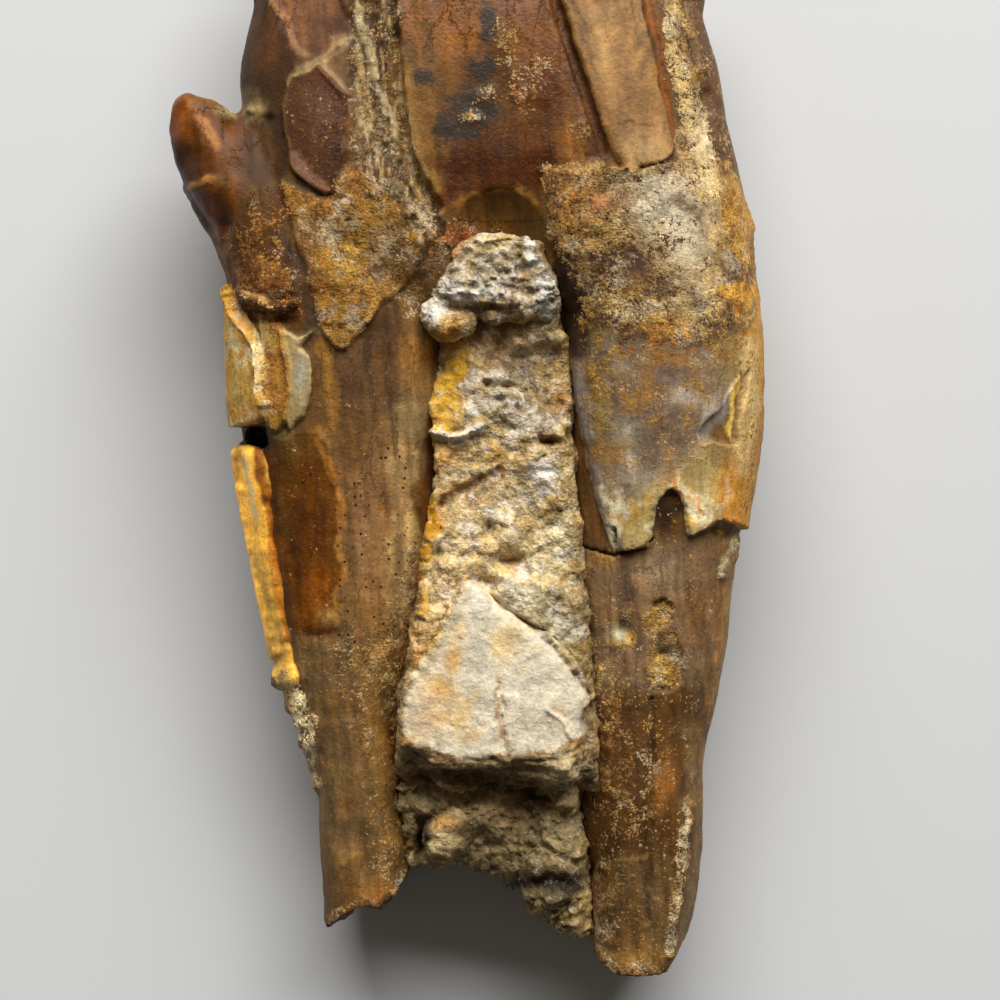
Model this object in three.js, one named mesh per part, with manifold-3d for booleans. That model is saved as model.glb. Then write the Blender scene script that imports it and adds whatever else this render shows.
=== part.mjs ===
// A fossil whale tooth with two roots, lying on its side, and the rock that fills the gap between the roots.
// Millimetres. X runs along the crown, Y from the root tips to the crown's point, Z up from the surface it lies on.
import * as THREE from "three";
import { mergeVertices } from "three/addons/utils/BufferGeometryUtils.js";
import Module from "manifold-3d";

const wasm = await Module();
wasm.setup();

// Driving sizes
const clearance = 0.3; // between the tooth and the rock
const layerStep = 0.6; // how far the cement and enamel layers stand above what they cover
const waistX = 2.4; // the middle of the gap between the roots
const tall = 30; // more than the tooth is deep, for cutters that go right through

// The crown's stations, from its point down to the neck: its left and right edges along X, and its front and back along Z
const crownStations = [
  { y: 51.0, left: -1.9, right: 0.1, front: 10.1, back: 8.3 },
  { y: 50.0, left: -2.7, right: 1.2, front: 10.9, back: 7.4 },
  { y: 47.8, left: -4.2, right: 2.8, front: 12.0, back: 6.2 },
  { y: 43.0, left: -6.6, right: 5.8, front: 13.4, back: 4.6 },
  { y: 35.0, left: -11.6, right: 11.4, front: 15.0, back: 2.8 },
  { y: 29.0, left: -16.0, right: 16.2, front: 16.1, back: 1.5 },
  { y: 22.2, left: -18.1, right: 18.8, front: 17.0, back: 0.5 },
  { y: 17.0, left: -18.2, right: 19.7, front: 17.5, back: 0.1 },
  { y: 12.6, left: -19.2, right: 20.9, front: 17.8, back: -0.25 },
  { y: 7.8, left: -19.7, right: 22.0, front: 17.5, back: -0.2 },
  { y: 3.0, left: -18.7, right: 22.0, front: 15.8, back: 1.2 },
  { y: -2.0, left: -16.5, right: 20.0, front: 11.6, back: 4.8 },
];

const leftRootStations = [
  { y: 12.0, left: -18.0, right: -2.4, front: 16.6, back: 1.2 },
  { y: 7.8, left: -19.0, right: -1.4, front: 16.8, back: 0.6 },
  { y: 3.0, left: -19.0, right: -1.0, front: 16.7, back: 0.3 },
  { y: -1.0, left: -18.7, right: -1.0, front: 16.2, back: 0.4 },
  { y: -5.0, left: -18.8, right: -1.1, front: 15.6, back: 0.6 },
  { y: -9.0, left: -18.3, right: -1.4, front: 15.0, back: 0.7 },
  { y: -17.8, left: -16.8, right: -2.2, front: 13.7, back: 0.3 },
  { y: -24.2, left: -15.5, right: -3.7, front: 12.9, back: -0.1 },
  { y: -29.0, left: -14.2, right: -4.5, front: 12.3, back: -0.1 },
  { y: -33.0, left: -12.9, right: -4.7, front: 11.8, back: 0.1 },
  { y: -37.0, left: -12.2, right: -4.5, front: 11.4, back: 0.5 },
  { y: -41.8, left: -12.1, right: -4.2, front: 11.0, back: 1.1 },
  { y: -48.4, left: -11.5, right: -4.0, front: 10.6, back: 1.8 },
];

const rightRootStations = [
  { y: 12.0, left: 7.0, right: 20.0, front: 16.7, back: 1.2 },
  { y: 7.8, left: 6.6, right: 21.6, front: 17.0, back: 0.5 },
  { y: 3.0, left: 6.7, right: 22.5, front: 16.9, back: 0.3 },
  { y: -1.0, left: 6.9, right: 22.9, front: 16.5, back: 0.5 },
  { y: -5.0, left: 7.2, right: 23.0, front: 16.0, back: 0.6 },
  { y: -9.0, left: 7.6, right: 22.8, front: 15.4, back: 0.6 },
  { y: -15.0, left: 7.8, right: 21.8, front: 14.7, back: 0.3 },
  { y: -19.4, left: 7.9, right: 21.1, front: 14.3, back: 0.1 },
  { y: -24.2, left: 8.2, right: 20.6, front: 13.9, back: -0.1 },
  { y: -29.0, left: 8.5, right: 19.7, front: 13.4, back: -0.1 },
  { y: -33.8, left: 8.7, right: 18.6, front: 13.0, back: -0.1 },
  { y: -38.6, left: 8.8, right: 18.7, front: 12.6, back: 0.2 },
  { y: -42.6, left: 9.4, right: 18.5, front: 12.2, back: 0.7 },
  { y: -47.4, left: 9.9, right: 17.7, front: 11.6, back: 1.4 },
  { y: -51.4, left: 10.5, right: 16.4, front: 11.0, back: 2.2 },
];

// The lowest side cusp on the left, which leans away from the crown
const cuspStations = [
  { y: 19.5, left: -22.9, right: -21.2, front: 11.0, back: 8.4 },
  { y: 19.0, left: -23.5, right: -19.9, front: 12.0, back: 7.6 },
  { y: 17.4, left: -23.8, right: -17.6, front: 13.4, back: 6.4 },
  { y: 15.0, left: -23.6, right: -14.6, front: 14.8, back: 5.2 },
  { y: 12.6, left: -23.1, right: -12.6, front: 15.8, back: 4.0 },
  { y: 9.8, left: -21.9, right: -11.0, front: 16.2, back: 3.2 },
  { y: 6.0, left: -19.9, right: -10.4, front: 15.8, back: 3.0 },
  { y: 1.5, left: -18.3, right: -10.4, front: 14.6, back: 4.0 },
];

// Outlines of the layers, seen from the front, as X, Y points
const sheathFront = [
  [5.9, 13.6], [6.3, 10.6], [7.0, 5.4], [7.7, 3.0], [8.2, -5.0], [9.7, -11.4], [10.9, -15.4], [11.6, -17.0],
  [14.3, -16.8], [14.6, -15.6], [14.9, -13.4], [15.5, -12.4], [16.2, -12.0], [16.9, -13.2], [17.3, -15.9],
  [18.9, -15.4], [19.9, -14.2], [22.1, -15.5], [25.0, -15.8], [25.0, 14.8], [19.9, 14.4], [16.6, 14.2], [12.5, 13.1],
];
const sheathBack = [
  [6.2, 12.0], [7.4, 2.0], [8.6, -9.0], [11.0, -13.8], [13.2, -12.6], [15.4, -16.4], [18.6, -17.6], [20.5, -15.2],
  [25.0, -15.8], [25.0, 14.0], [14.0, 11.0],
];
const stripOutline = [
  [-21.0, -7.8], [-17.8, -9.2], [-16.4, -11.2], [-15.9, -15.0], [-15.3, -19.4], [-14.5, -24.6], [-13.7, -28.6],
  [-12.7, -32.6], [-11.9, -37.0], [-14.5, -37.4], [-21.0, -25.0],
];
const outerFlake = [
  [-21.0, 3.6], [-18.4, 3.8], [-16.6, -1.0], [-16.2, -5.0], [-16.8, -7.2], [-18.3, -7.9], [-21.0, -7.4],
];
const innerFlake = [[-17.0, 1.2], [-15.2, 1.6], [-14.1, -0.4], [-13.3, -3.4], [-14.1, -6.6], [-15.6, -6.9], [-17.0, -5.0]];
const crownSlab = [
  [7.2, 31.5], [8.9, 22.2], [10.5, 17.8], [11.4, 15.0], [12.5, 13.2], [15.4, 14.0], [16.6, 15.0], [15.4, 19.0],
  [14.6, 23.0], [13.5, 28.0], [12.6, 31.0],
];
const crownTongue = [
  [-13.8, 21.0], [-14.3, 16.6], [-14.0, 13.8], [-13.0, 11.8], [-11.9, 11.3], [-10.5, 13.2], [-9.8, 16.6], [-9.5, 21.0],
  [-9.4, 26.2], [-11.0, 29.0], [-13.3, 24.6],
];
const leftRootBreak = [
  [-14.0, -47.7], [-11.5, -47.4], [-9.9, -46.3], [-8.6, -45.5], [-7.1, -45.4], [-5.9, -44.6], [-5.1, -43.6],
  [-4.6, -42.0], [-2.0, -40.0], [-2.0, -55.0], [-14.0, -55.0],
];
const rightRootBreak = [
  [7.3, -47.4], [8.9, -48.6], [10.5, -49.8], [11.7, -50.8], [13.7, -51.0], [15.9, -50.6], [17.2, -48.5], [20.0, -44.5],
  [20.0, -55.0], [7.3, -55.0],
];
const edgeChip = [[21.5, -3.2], [18.6, -7.0], [18.2, -7.8], [18.7, -8.5], [20.0, -8.7], [21.4, -8.0], [21.7, -5.0]];
const furcation = [[-1.2, -4.0], [-1.0, 2.6], [0.0, 5.0], [waistX, 6.2], [5.4, 5.2], [6.8, 2.6], [7.0, -4.0]];
const rockSlab = [
  [0.1, -19.6], [-1.7, -23.4], [-3.2, -25.8], [-4.9, -27.8], [-5.1, -31.8], [-3.5, -32.7], [-1.8, -33.6], [3.3, -33.4],
  [7.6, -33.6], [8.7, -32.6], [8.3, -30.2], [8.9, -28.4], [8.2, -26.4], [6.1, -24.2], [2.5, -22.0],
];

function solid(geometry) {
  const bare = geometry.clone();
  bare.deleteAttribute("normal");
  bare.deleteAttribute("uv");
  const merged = mergeVertices(bare, 1e-4);
  return new wasm.Manifold(
    new wasm.Mesh({
      numProp: 3,
      vertProperties: merged.attributes.position.array,
      triVerts: new Uint32Array(merged.index.array),
    }),
  );
}

function join(...solids) {
  return solids.reduce((whole, next) => whole.add(next));
}

function cut(whole, ...cutters) {
  return cutters.reduce((left, cutter) => left.subtract(cutter), whole);
}

function namedMesh(name, made, material) {
  const { vertProperties, triVerts } = made.getMesh();
  const geometry = new THREE.BufferGeometry();
  geometry.setAttribute("position", new THREE.BufferAttribute(vertProperties, 3));
  geometry.setIndex(new THREE.BufferAttribute(triVerts, 1));
  geometry.computeVertexNormals();
  const mesh = new THREE.Mesh(geometry, material);
  mesh.name = name;
  return mesh;
}

// Moves every point of a closed geometry by a function that changes the vector it is given.
function warp(geometry, move) {
  const places = geometry.attributes.position;
  const point = new THREE.Vector3();
  for (let i = 0; i < places.count; i++) {
    point.fromBufferAttribute(places, i);
    move(point);
    places.setXYZ(i, point.x, point.y, point.z);
  }
  return geometry;
}

// A smooth uneven field between -1 and 1, for lumps about the given size across.
function lumps(x, y, z, size) {
  const a = Math.sin((x + 0.7 * z) / (size * 0.31) + 1.3);
  const b = Math.sin((y - 0.4 * x) / (size * 0.37) + 4.1);
  const c = Math.sin((z + 0.6 * y) / (size * 0.29) + 2.2);
  return (a * b + b * c + c * a) / 3;
}

// A rounded body through a list of stations. Squareness 2 gives ellipses, and more gives flatter faces.
function loft(stations, { around, along, squareness, grow = 0, lump = 0, relief = () => 0 }) {
  const middles = new THREE.CatmullRomCurve3(
    stations.map((s) => new THREE.Vector3((s.left + s.right) / 2, s.y, (s.back + s.front) / 2)),
    false,
    "catmullrom",
  );
  const halves = new THREE.CatmullRomCurve3(
    stations.map((s) => new THREE.Vector3((s.right - s.left) / 2, 0, (s.front - s.back) / 2)),
    false,
    "catmullrom",
  );
  const corner = (c) => Math.sign(c) * Math.abs(c) ** (2 / squareness);
  return solid(
    warp(new THREE.CylinderGeometry(1, 1, 1, around, along), (p) => {
      const t = THREE.MathUtils.clamp(0.5 - p.y, 0, 1);
      const middle = middles.getPoint(t);
      const half = halves.getPoint(t);
      const angle = Math.atan2(p.z, p.x);
      const reach = Math.min(1, Math.hypot(p.x, p.z));
      const x = middle.x + reach * (half.x + grow) * corner(Math.cos(angle));
      const y = middle.y + (t === 0 ? grow : t === 1 ? -grow : 0);
      const uneven = lump * lumps(x, y, 8 * Math.sin(angle), 7);
      const depth = half.z + grow - relief(x, y) + uneven;
      p.set(x + reach * Math.cos(angle) * uneven, y, middle.z + reach * depth * corner(Math.sin(angle)));
    }),
  );
}

function prism(outline, low, high) {
  const shape = new THREE.Shape(outline.map(([x, y]) => new THREE.Vector2(x, y)));
  const geometry = new THREE.ExtrudeGeometry(shape, { depth: high - low, bevelEnabled: false });
  return solid(geometry.translate(0, 0, low));
}

function ellipsoid(centre, radii, detail = 1) {
  const geometry = new THREE.IcosahedronGeometry(1, detail);
  return solid(geometry.scale(...radii).translate(...centre));
}

// A rough stone, whose points stand in and out by a share of its size.
function crumb(centre, radii, detail = 1) {
  const geometry = warp(new THREE.IcosahedronGeometry(1, detail), (p) => {
    const size = 1 + 0.22 * lumps(p.x + centre[0], p.y + centre[1], p.z, 1.1);
    p.multiplyScalar(size);
  });
  return solid(geometry.scale(...radii).translate(...centre));
}

// A rod of six sides along a list of X, Y, Z points.
function rod(points, radius, steps) {
  const path = new THREE.CatmullRomCurve3(points.map((p) => new THREE.Vector3(...p)));
  const section = new THREE.Shape();
  section.absarc(0, 0, radius, 0, 2 * Math.PI);
  return solid(
    new THREE.ExtrudeGeometry(section, { steps, extrudePath: path, curveSegments: 3, bevelEnabled: false }),
  );
}

// A side cusp: a cone with a blunt point, from its foot inside the crown to its tip.
function cusp({ foot, tip, width, depth }) {
  const stations = [0, 0.3, 0.6, 0.85, 0.96, 1].map((t) => {
    const x = foot[0] + (tip[0] - foot[0]) * t;
    const size = 0.92 * (1 - t ** 1.6) ** 0.8 + 0.08;
    return {
      y: foot[1] + (tip[1] - foot[1]) * t,
      left: x - (width / 2) * size,
      right: x + (width / 2) * size,
      front: 9.2 + (depth / 2) * size,
      back: 9.2 - (depth / 2) * size,
    };
  });
  return loft(stations.reverse(), { around: 10, along: 6, squareness: 2.2 });
}

// How much shallower the crown is along its middle, front and back, over the gap between the roots.
function crownWaist(x, y) {
  const across = Math.exp(-(((x - waistX) / 5) ** 2));
  const down = THREE.MathUtils.smoothstep(-y, -26, -6);
  return 0.9 * across * down;
}

function crown(grow) {
  return loft(crownStations, { around: 36, along: 24, squareness: 2.7, grow, lump: 0.16, relief: crownWaist });
}

function leftRoot(grow) {
  return loft(leftRootStations, { around: 20, along: 20, squareness: 2.3, grow, lump: 0.18 });
}

function rightRoot(grow) {
  return loft(rightRootStations, { around: 20, along: 20, squareness: 2.3, grow, lump: 0.18 });
}

// The arch that parts the crown's foot over the gap between the roots.
function rootGap(grow) {
  const inset = furcation.map(([x, y]) => [x + (x < waistX ? grow : -grow), y > 0 ? y - grow : y]);
  return prism(inset, -5, tall);
}

// The hollows that lead into that arch, on the front and on the back.
function archHollows(grow) {
  const radii = [5.3 - grow, 9.2 - grow, 6.2 - grow];
  return join(ellipsoid([waistX, 3.0, 19.9], radii, 2), ellipsoid([waistX, 2.0, -2.4], radii, 2));
}

// The crown and roots with nothing on them, larger all round by the given amount.
function bareTooth(grow = 0) {
  const openCrown = cut(crown(grow), rootGap(grow));
  return cut(join(openCrown, leftRoot(grow), rightRoot(grow)), archHollows(grow));
}

// The cement sheath over the right root, whose broken lower edge has a deep notch.
function cementSheath(grow = 0) {
  const openCrown = cut(crown(layerStep + grow), rootGap(grow));
  const skin = join(openCrown, rightRoot(layerStep + grow));
  const front = skin.intersect(prism(sheathFront, 9, tall));
  const back = skin.intersect(prism(sheathBack, -5, 9));
  return cut(join(front, back), archHollows(grow));
}

// The strip of cement that is left along the outer side of the left root, and the flakes above it.
function leftCement() {
  const strip = leftRoot(layerStep).intersect(prism(stripOutline, 5, tall));
  const outer = join(leftRoot(layerStep + 0.2), crown(layerStep)).intersect(prism(outerFlake, 5, tall));
  const inner = leftRoot(layerStep * 0.8).intersect(prism(innerFlake, 9, tall));
  const nodules = [
    [-14.3, -28.0, 9.9],
    [-13.6, -30.2, 9.6],
    [-12.8, -33.2, 9.2],
    [-12.4, -35.0, 9.0],
  ].map((place) => crumb(place, [0.75, 0.95, 0.95], 0));
  return join(strip, outer, inner, ...nodules, crumb([-16.1, 4.2, 14.6], [2.0, 2.3, 1.5]));
}

// The slab of enamel that is left on the right of the crown, and the tongue-shaped flake on its left.
function enamelLayers() {
  const slab = crown(layerStep + 0.1).intersect(prism(crownSlab, 9, tall));
  const tongue = crown(layerStep).intersect(prism(crownTongue, 9, tall));
  return join(slab, tongue);
}

// The cusps along the crown's two sloping edges.
function sideCusps() {
  return join(
    loft(cuspStations, { around: 12, along: 10, squareness: 2.2 }),
    cusp({ foot: [-11.8, 20.0], tip: [-17.6, 33.4], width: 11.5, depth: 11.5 }),
    cusp({ foot: [-7.2, 31.0], tip: [-11.6, 42.4], width: 9.0, depth: 8.6 }),
    cusp({ foot: [11.6, 20.0], tip: [17.6, 33.0], width: 11.5, depth: 11.0 }),
    cusp({ foot: [6.6, 31.0], tip: [11.0, 42.0], width: 9.0, depth: 8.6 }),
  );
}

// Everything that is broken out of the tooth or worn off it.
function breaks() {
  const valley = [
    [-6.4, 33.0, 16.2],
    [-6.6, 26.0, 16.7],
    [-6.2, 20.0, 17.4],
    [-5.4, 14.0, 17.9],
    [-4.4, 9.0, 18.0],
  ];
  return join(
    rod(valley, 0.95, 8),
    prism(edgeChip, 13.2, tall),
    ellipsoid([-16.8, -8.3, 13.6], [0.9, 1.3, 2.2]),
    prism(leftRootBreak, -5, tall),
    prism(rightRootBreak, -5, tall),
    ellipsoid([-8.6, -46.2, 6.0], [1.9, 4.5, 2.6]),
    ellipsoid([13.2, -50.8, 6.2], [2.2, 4.0, 2.8]),
    ellipsoid([15.6, -24.6, 14.6], [1.3, 3.6, 1.5]),
    ellipsoid([20.3, -15.6, 13.6], [0.6, 0.8, 1.0], 1),
  );
}

// What would reach below the surface that the tooth lies on, which leaves its flat rests.
function ground() {
  return solid(new THREE.BoxGeometry(80, 140, 10).translate(0, 0, -5));
}

function tooth() {
  const whole = join(bareTooth(), cementSheath(), leftCement(), enamelLayers(), sideCusps());
  return cut(whole, breaks(), ground());
}

// The rock's edges and faces, as curves of its height Y
const rockLeft = new THREE.SplineCurve([
  new THREE.Vector2(8.2, -0.6),
  new THREE.Vector2(6.0, -2.3),
  new THREE.Vector2(2.6, -2.6),
  new THREE.Vector2(-3.0, -2.4),
  new THREE.Vector2(-9.0, -2.9),
  new THREE.Vector2(-17.0, -3.9),
  new THREE.Vector2(-26.0, -5.0),
  new THREE.Vector2(-32.0, -5.6),
  new THREE.Vector2(-42.0, -5.6),
]);
const rockRight = new THREE.SplineCurve([
  new THREE.Vector2(8.2, 5.8),
  new THREE.Vector2(6.0, 7.0),
  new THREE.Vector2(2.6, 7.9),
  new THREE.Vector2(-3.0, 8.1),
  new THREE.Vector2(-9.0, 8.6),
  new THREE.Vector2(-17.0, 8.8),
  new THREE.Vector2(-26.0, 9.6),
  new THREE.Vector2(-32.0, 9.7),
  new THREE.Vector2(-44.0, 10.6),
]);
const rockFoot = new THREE.SplineCurve([
  new THREE.Vector2(-6.0, -42.0),
  new THREE.Vector2(-3.0, -41.5),
  new THREE.Vector2(0.5, -41.2),
  new THREE.Vector2(2.5, -42.3),
  new THREE.Vector2(4.0, -44.2),
  new THREE.Vector2(7.0, -46.6),
  new THREE.Vector2(10.6, -48.6),
]);

function along(curve, share) {
  return curve.getPoint(THREE.MathUtils.clamp(share, 0, 1)).y;
}

// The front of the rock: a cap under the crown, a sunken column, and a deep recess below the slab.
function rockFront(x, y) {
  const cap = 2.9 * THREE.MathUtils.smoothstep(y, 1.8, 3.0);
  const column = 13.3 + 0.5 * lumps(x, y, 0, 5);
  const spine = 0.5 * Math.exp(-(((y + 7.4) / 0.8) ** 2));
  const recess = 4.4 * THREE.MathUtils.smoothstep(-y, 34.0, 36.0);
  const rise = 1.4 * THREE.MathUtils.smoothstep(x, 4.5, 8.0) * THREE.MathUtils.smoothstep(-y, 34.0, 36.0);
  return column + cap + spine - recess + rise - 0.02 * Math.max(0, -y - 36) ** 1.6;
}

function rockBack(x, y) {
  const sunk = 2.4 + 0.7 * lumps(x, y, 3, 6);
  return sunk + 1.2 * THREE.MathUtils.smoothstep(-y, 34.0, 44.0);
}

function rockFill() {
  const top = 8.2;
  return solid(
    warp(new THREE.BoxGeometry(1, 1, 1, 7, 24, 2), (p) => {
      const u = p.x + 0.5;
      const foot = along(rockFoot, u);
      const y = THREE.MathUtils.lerp(foot, top, p.y + 0.5);
      const down = (top - y) / (top + 44);
      const x = THREE.MathUtils.lerp(along(rockLeft, down), along(rockRight, down), u);
      const rough = 0.22 * lumps(x, y, p.z, 2.3);
      const z = THREE.MathUtils.lerp(rockBack(x, y), rockFront(x, y), p.z + 0.5);
      p.set(x + rough, y + rough, z + rough);
    }),
  );
}

// The pale slab at the front of the rock, whose lower face slants outwards and down.
function frontSlab() {
  const shape = new THREE.Shape(rockSlab.map(([x, y]) => new THREE.Vector2(x, y)));
  const thickness = 3.4;
  const geometry = new THREE.ExtrudeGeometry(shape, {
    depth: thickness,
    steps: 2,
    bevelThickness: 0.3,
    bevelSize: 0.3,
    bevelOffset: -0.3,
    bevelSegments: 1,
  });
  const slanted = warp(geometry, (p) => {
    const low = THREE.MathUtils.smoothstep(-p.y, 30.0, 33.0);
    const deep = thickness - p.z;
    p.y -= 0.5 * low * Math.max(0, deep);
    p.z += 11.0 + 0.05 * (-19.6 - p.y) + 0.12 * lumps(p.x, p.y, p.z, 3);
  });
  return solid(slanted);
}

function matrix() {
  const lumpsOnRock = [
    crumb([-1.9, 1.9, 14.2], [1.6, 1.1, 0.9]),
    crumb([5.0, 7.0, 14.9], [1.0, 1.3, 1.0]),
    crumb([7.2, -34.6, 11.4], [1.7, 1.5, 1.6]),
    crumb([-1.8, -39.6, 8.8], [1.4, 1.3, 1.1]),
    crumb([6.6, -43.0, 9.0], [2.0, 2.4, 1.3]),
  ];
  const rough = join(rockFill(), frontSlab(), ...lumpsOnRock);
  return cut(rough, bareTooth(clearance), cementSheath(clearance));
}

const fossil = new THREE.Group();
const toothMaterial = new THREE.MeshStandardMaterial({ color: 0x8a6238, roughness: 0.42, metalness: 0 });
const matrixMaterial = new THREE.MeshStandardMaterial({ color: 0xc9bb9c, roughness: 0.9, metalness: 0 });
fossil.add(namedMesh("tooth", tooth(), toothMaterial), namedMesh("matrix", matrix(), matrixMaterial));

export default fossil;
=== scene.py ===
import bmesh
import bpy
import numpy as np
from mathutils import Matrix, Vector


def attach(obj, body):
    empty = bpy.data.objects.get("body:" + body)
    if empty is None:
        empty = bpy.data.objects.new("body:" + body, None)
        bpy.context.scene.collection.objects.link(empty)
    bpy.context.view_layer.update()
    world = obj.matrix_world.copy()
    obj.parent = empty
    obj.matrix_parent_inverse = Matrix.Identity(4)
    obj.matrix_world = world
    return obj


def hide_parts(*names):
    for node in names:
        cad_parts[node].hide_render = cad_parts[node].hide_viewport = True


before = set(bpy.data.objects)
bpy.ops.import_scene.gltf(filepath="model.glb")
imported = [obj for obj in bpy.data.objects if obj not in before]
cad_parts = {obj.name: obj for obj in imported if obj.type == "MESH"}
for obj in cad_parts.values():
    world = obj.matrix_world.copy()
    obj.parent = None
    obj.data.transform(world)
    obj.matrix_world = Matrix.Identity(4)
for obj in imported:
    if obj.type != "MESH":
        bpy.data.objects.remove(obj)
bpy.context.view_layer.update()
mm = 0.001  # the sculpting is done in millimetres, and each finished piece is scaled to metres

# Marks on the front are drawn in squares of the view: columns from its left, rows from its top. The origin is
# at the column and row given; the rest is in millimetres: a square's width at a depth, and the camera's place
view = {
    "square": 0.08, "column": 469.0, "row": 337.5, "x": 2.48, "y": -13.0, "depth": 9.5, "distance": 222.0,
}

# Named shapes on the front, which each piece adds its own to, as points in those squares
areas = {}
lines = {}


def hashed(i, j, k, seed):
    h = (i * 73856093) ^ (j * 19349663) ^ (k * 83492791) ^ (seed * 49979687)
    h = (h ^ (h >> 13)) * 1274126177
    h &= 0xFFFFFFFF
    h ^= h >> 16
    return (h & 0xFFFFFF) / float(0xFFFFFF)


def noise(points, size, seed, octaves=1):
    # smooth noise from -1 to 1 at each point; size is one number, or one for each axis
    total = np.zeros(len(points))
    weight = 1.0
    most = 0.0
    for octave in range(octaves):
        p = points / (np.asarray(size, float) / 2.0**octave) + 0.37 * octave
        cell = np.floor(p).astype(np.int64)
        f = p - cell
        f = f * f * f * (f * (f * 6 - 15) + 10)
        for corner in range(8):
            a, b, c = corner & 1, corner >> 1 & 1, corner >> 2
            share = (f[:, 0] if a else 1 - f[:, 0]) * (f[:, 1] if b else 1 - f[:, 1])
            share = share * (f[:, 2] if c else 1 - f[:, 2])
            value = hashed(cell[:, 0] + a, cell[:, 1] + b, cell[:, 2] + c, seed + octave)
            total += weight * share * (value * 2 - 1)
        most += weight
        weight *= 0.5
    return total / most * 1.6


def pebbles(points, size, seed):
    # distance to the nearest scattered centre, and the centre's own number from 0 to 1
    p = points / np.asarray(size, float)
    cell = np.floor(p).astype(np.int64)
    nearest = np.full(len(points), 9.0)
    owner = np.zeros(len(points))
    for step in range(27):
        i = cell[:, 0] + step % 3 - 1
        j = cell[:, 1] + step // 3 % 3 - 1
        k = cell[:, 2] + step // 9 - 1
        dx = i + hashed(i, j, k, seed) - p[:, 0]
        dy = j + hashed(i, j, k, seed + 1) - p[:, 1]
        dz = k + hashed(i, j, k, seed + 2) - p[:, 2]
        d = dx * dx + dy * dy + dz * dz
        closer = d < nearest
        nearest = np.where(closer, d, nearest)
        owner = np.where(closer, hashed(i, j, k, seed + 3), owner)
    return np.sqrt(nearest), owner


def ease(value, low, high):
    t = np.clip((value - low) / (high - low), 0, 1)
    return t * t * (3 - 2 * t)


def seen(points):
    # the column and row where each point shows in the view
    scale = view["distance"] / (view["distance"] - (points[:, 2] - view["depth"]))
    u = view["x"] + (points[:, 0] - view["x"]) * scale
    v = view["y"] + (points[:, 1] - view["y"]) * scale
    return np.stack([view["column"] + u / view["square"], view["row"] - v / view["square"]], 1)


def wobbled(uv, size, amount, seed):
    # the same places pushed about by noise, so that what is drawn there gets ragged edges
    flat = np.concatenate([uv, np.zeros((len(uv), 1))], 1)
    across = noise(flat, size, seed, 3)
    down = noise(flat, size, seed + 50, 3)
    return uv + amount * np.stack([across, down], 1)


def near(uv, shape, margin):
    corners = np.asarray(shape, float)
    low = corners.min(0) - margin
    high = corners.max(0) + margin
    return np.flatnonzero(((uv > low) & (uv < high)).all(1))


def inside(uv, outline, reach=30):
    # signed distance to a closed outline, above 0 inside it and no lower than -reach
    result = np.full(len(uv), -float(reach))
    chosen = near(uv, outline, reach)
    q = uv[chosen]
    corners = np.asarray(outline, float)
    best = np.full(len(q), 1e9)
    within = np.zeros(len(q), bool)
    for a, b in zip(corners, np.roll(corners, -1, 0)):
        ab = b - a
        t = np.clip(((q - a) @ ab) / (ab @ ab), 0, 1)
        best = np.minimum(best, np.hypot(*(q - a - t[:, None] * ab).T))
        crosses = (a[1] > q[:, 1]) != (b[1] > q[:, 1])
        fall = b[1] - a[1] if b[1] != a[1] else 1e-9
        within ^= crosses & (q[:, 0] < (b[0] - a[0]) * (q[:, 1] - a[1]) / fall + a[0])
    result[chosen] = np.maximum(np.where(within, best, -best), -reach)
    return result


def distanceTo(uv, path, reach=30):
    # distance to a line of points, no higher than reach
    result = np.full(len(uv), float(reach))
    chosen = near(uv, path, reach)
    q = uv[chosen]
    corners = np.asarray(path, float)
    for a, b in zip(corners[:-1], corners[1:]):
        ab = b - a
        t = np.clip(((q - a) @ ab) / (ab @ ab), 0, 1)
        result[chosen] = np.minimum(result[chosen], np.hypot(*(q - a - t[:, None] * ab).T))
    return result


def share(uv, kind, shape, size):
    # 1 on a mark and 0 off it: an area with edges size soft, a line size wide to each side, or an oval spot
    if kind == "area":
        return ease(inside(uv, shape, size + 1), -size, size)
    if kind == "line":
        return 1 - ease(distanceTo(uv, shape, 1.3 * size + 1), 0.5 * size, 1.3 * size)
    result = np.zeros(len(uv))
    chosen = near(uv, [shape], 2.6 * max(size))
    off = (uv[chosen] - shape) / size
    result[chosen] = np.exp(-(off**2).sum(1))
    return result


def drawn(mark, usual=1):
    # a mark's kind, shape, size, value and strength, where the usual strength may be left out; a mark starts
    # with a shape's name and size, with a kind, points and size, or with an oval's column, row and two radii
    first = mark[0]
    if first in ("area", "line"):
        kind, shape, size, *rest = mark
    elif first in areas:
        kind, shape, size, rest = "area", areas[first], mark[1], mark[2:]
    elif first in lines:
        kind, shape, size, rest = "line", lines[first], mark[1], mark[2:]
    else:
        kind, shape, size, rest = "spot", mark[:2], mark[2:4], mark[4:]
    return kind, shape, size, rest[0], rest[1] if len(rest) > 1 else usual


def laid(uv, base, marks, change=np.asarray, usual=1):
    # the marks' values laid over the base in turn
    start = np.atleast_1d(change(base)).astype(float)
    result = np.tile(start, (len(uv), 1))
    for mark in marks:
        kind, shape, size, value, strength = drawn(mark, usual)
        cover = (strength * share(uv, kind, shape, size))[:, None]
        result += (np.atleast_1d(change(value)) - result) * cover
    return result


def raised(uv, marks):
    # the heights of all the marks added up
    total = np.zeros(len(uv))
    for mark in marks:
        kind, shape, size, height, _ = drawn(mark)
        total += height * share(uv, kind, shape, size)
    return total


def rough(points, grains, cover=1.0):
    # layers of noise added up; each is a height, a size in millimetres, a seed and a number of octaves
    return sum(cover * height * noise(points, size, seed, octaves) for height, size, seed, octaves in grains)


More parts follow.
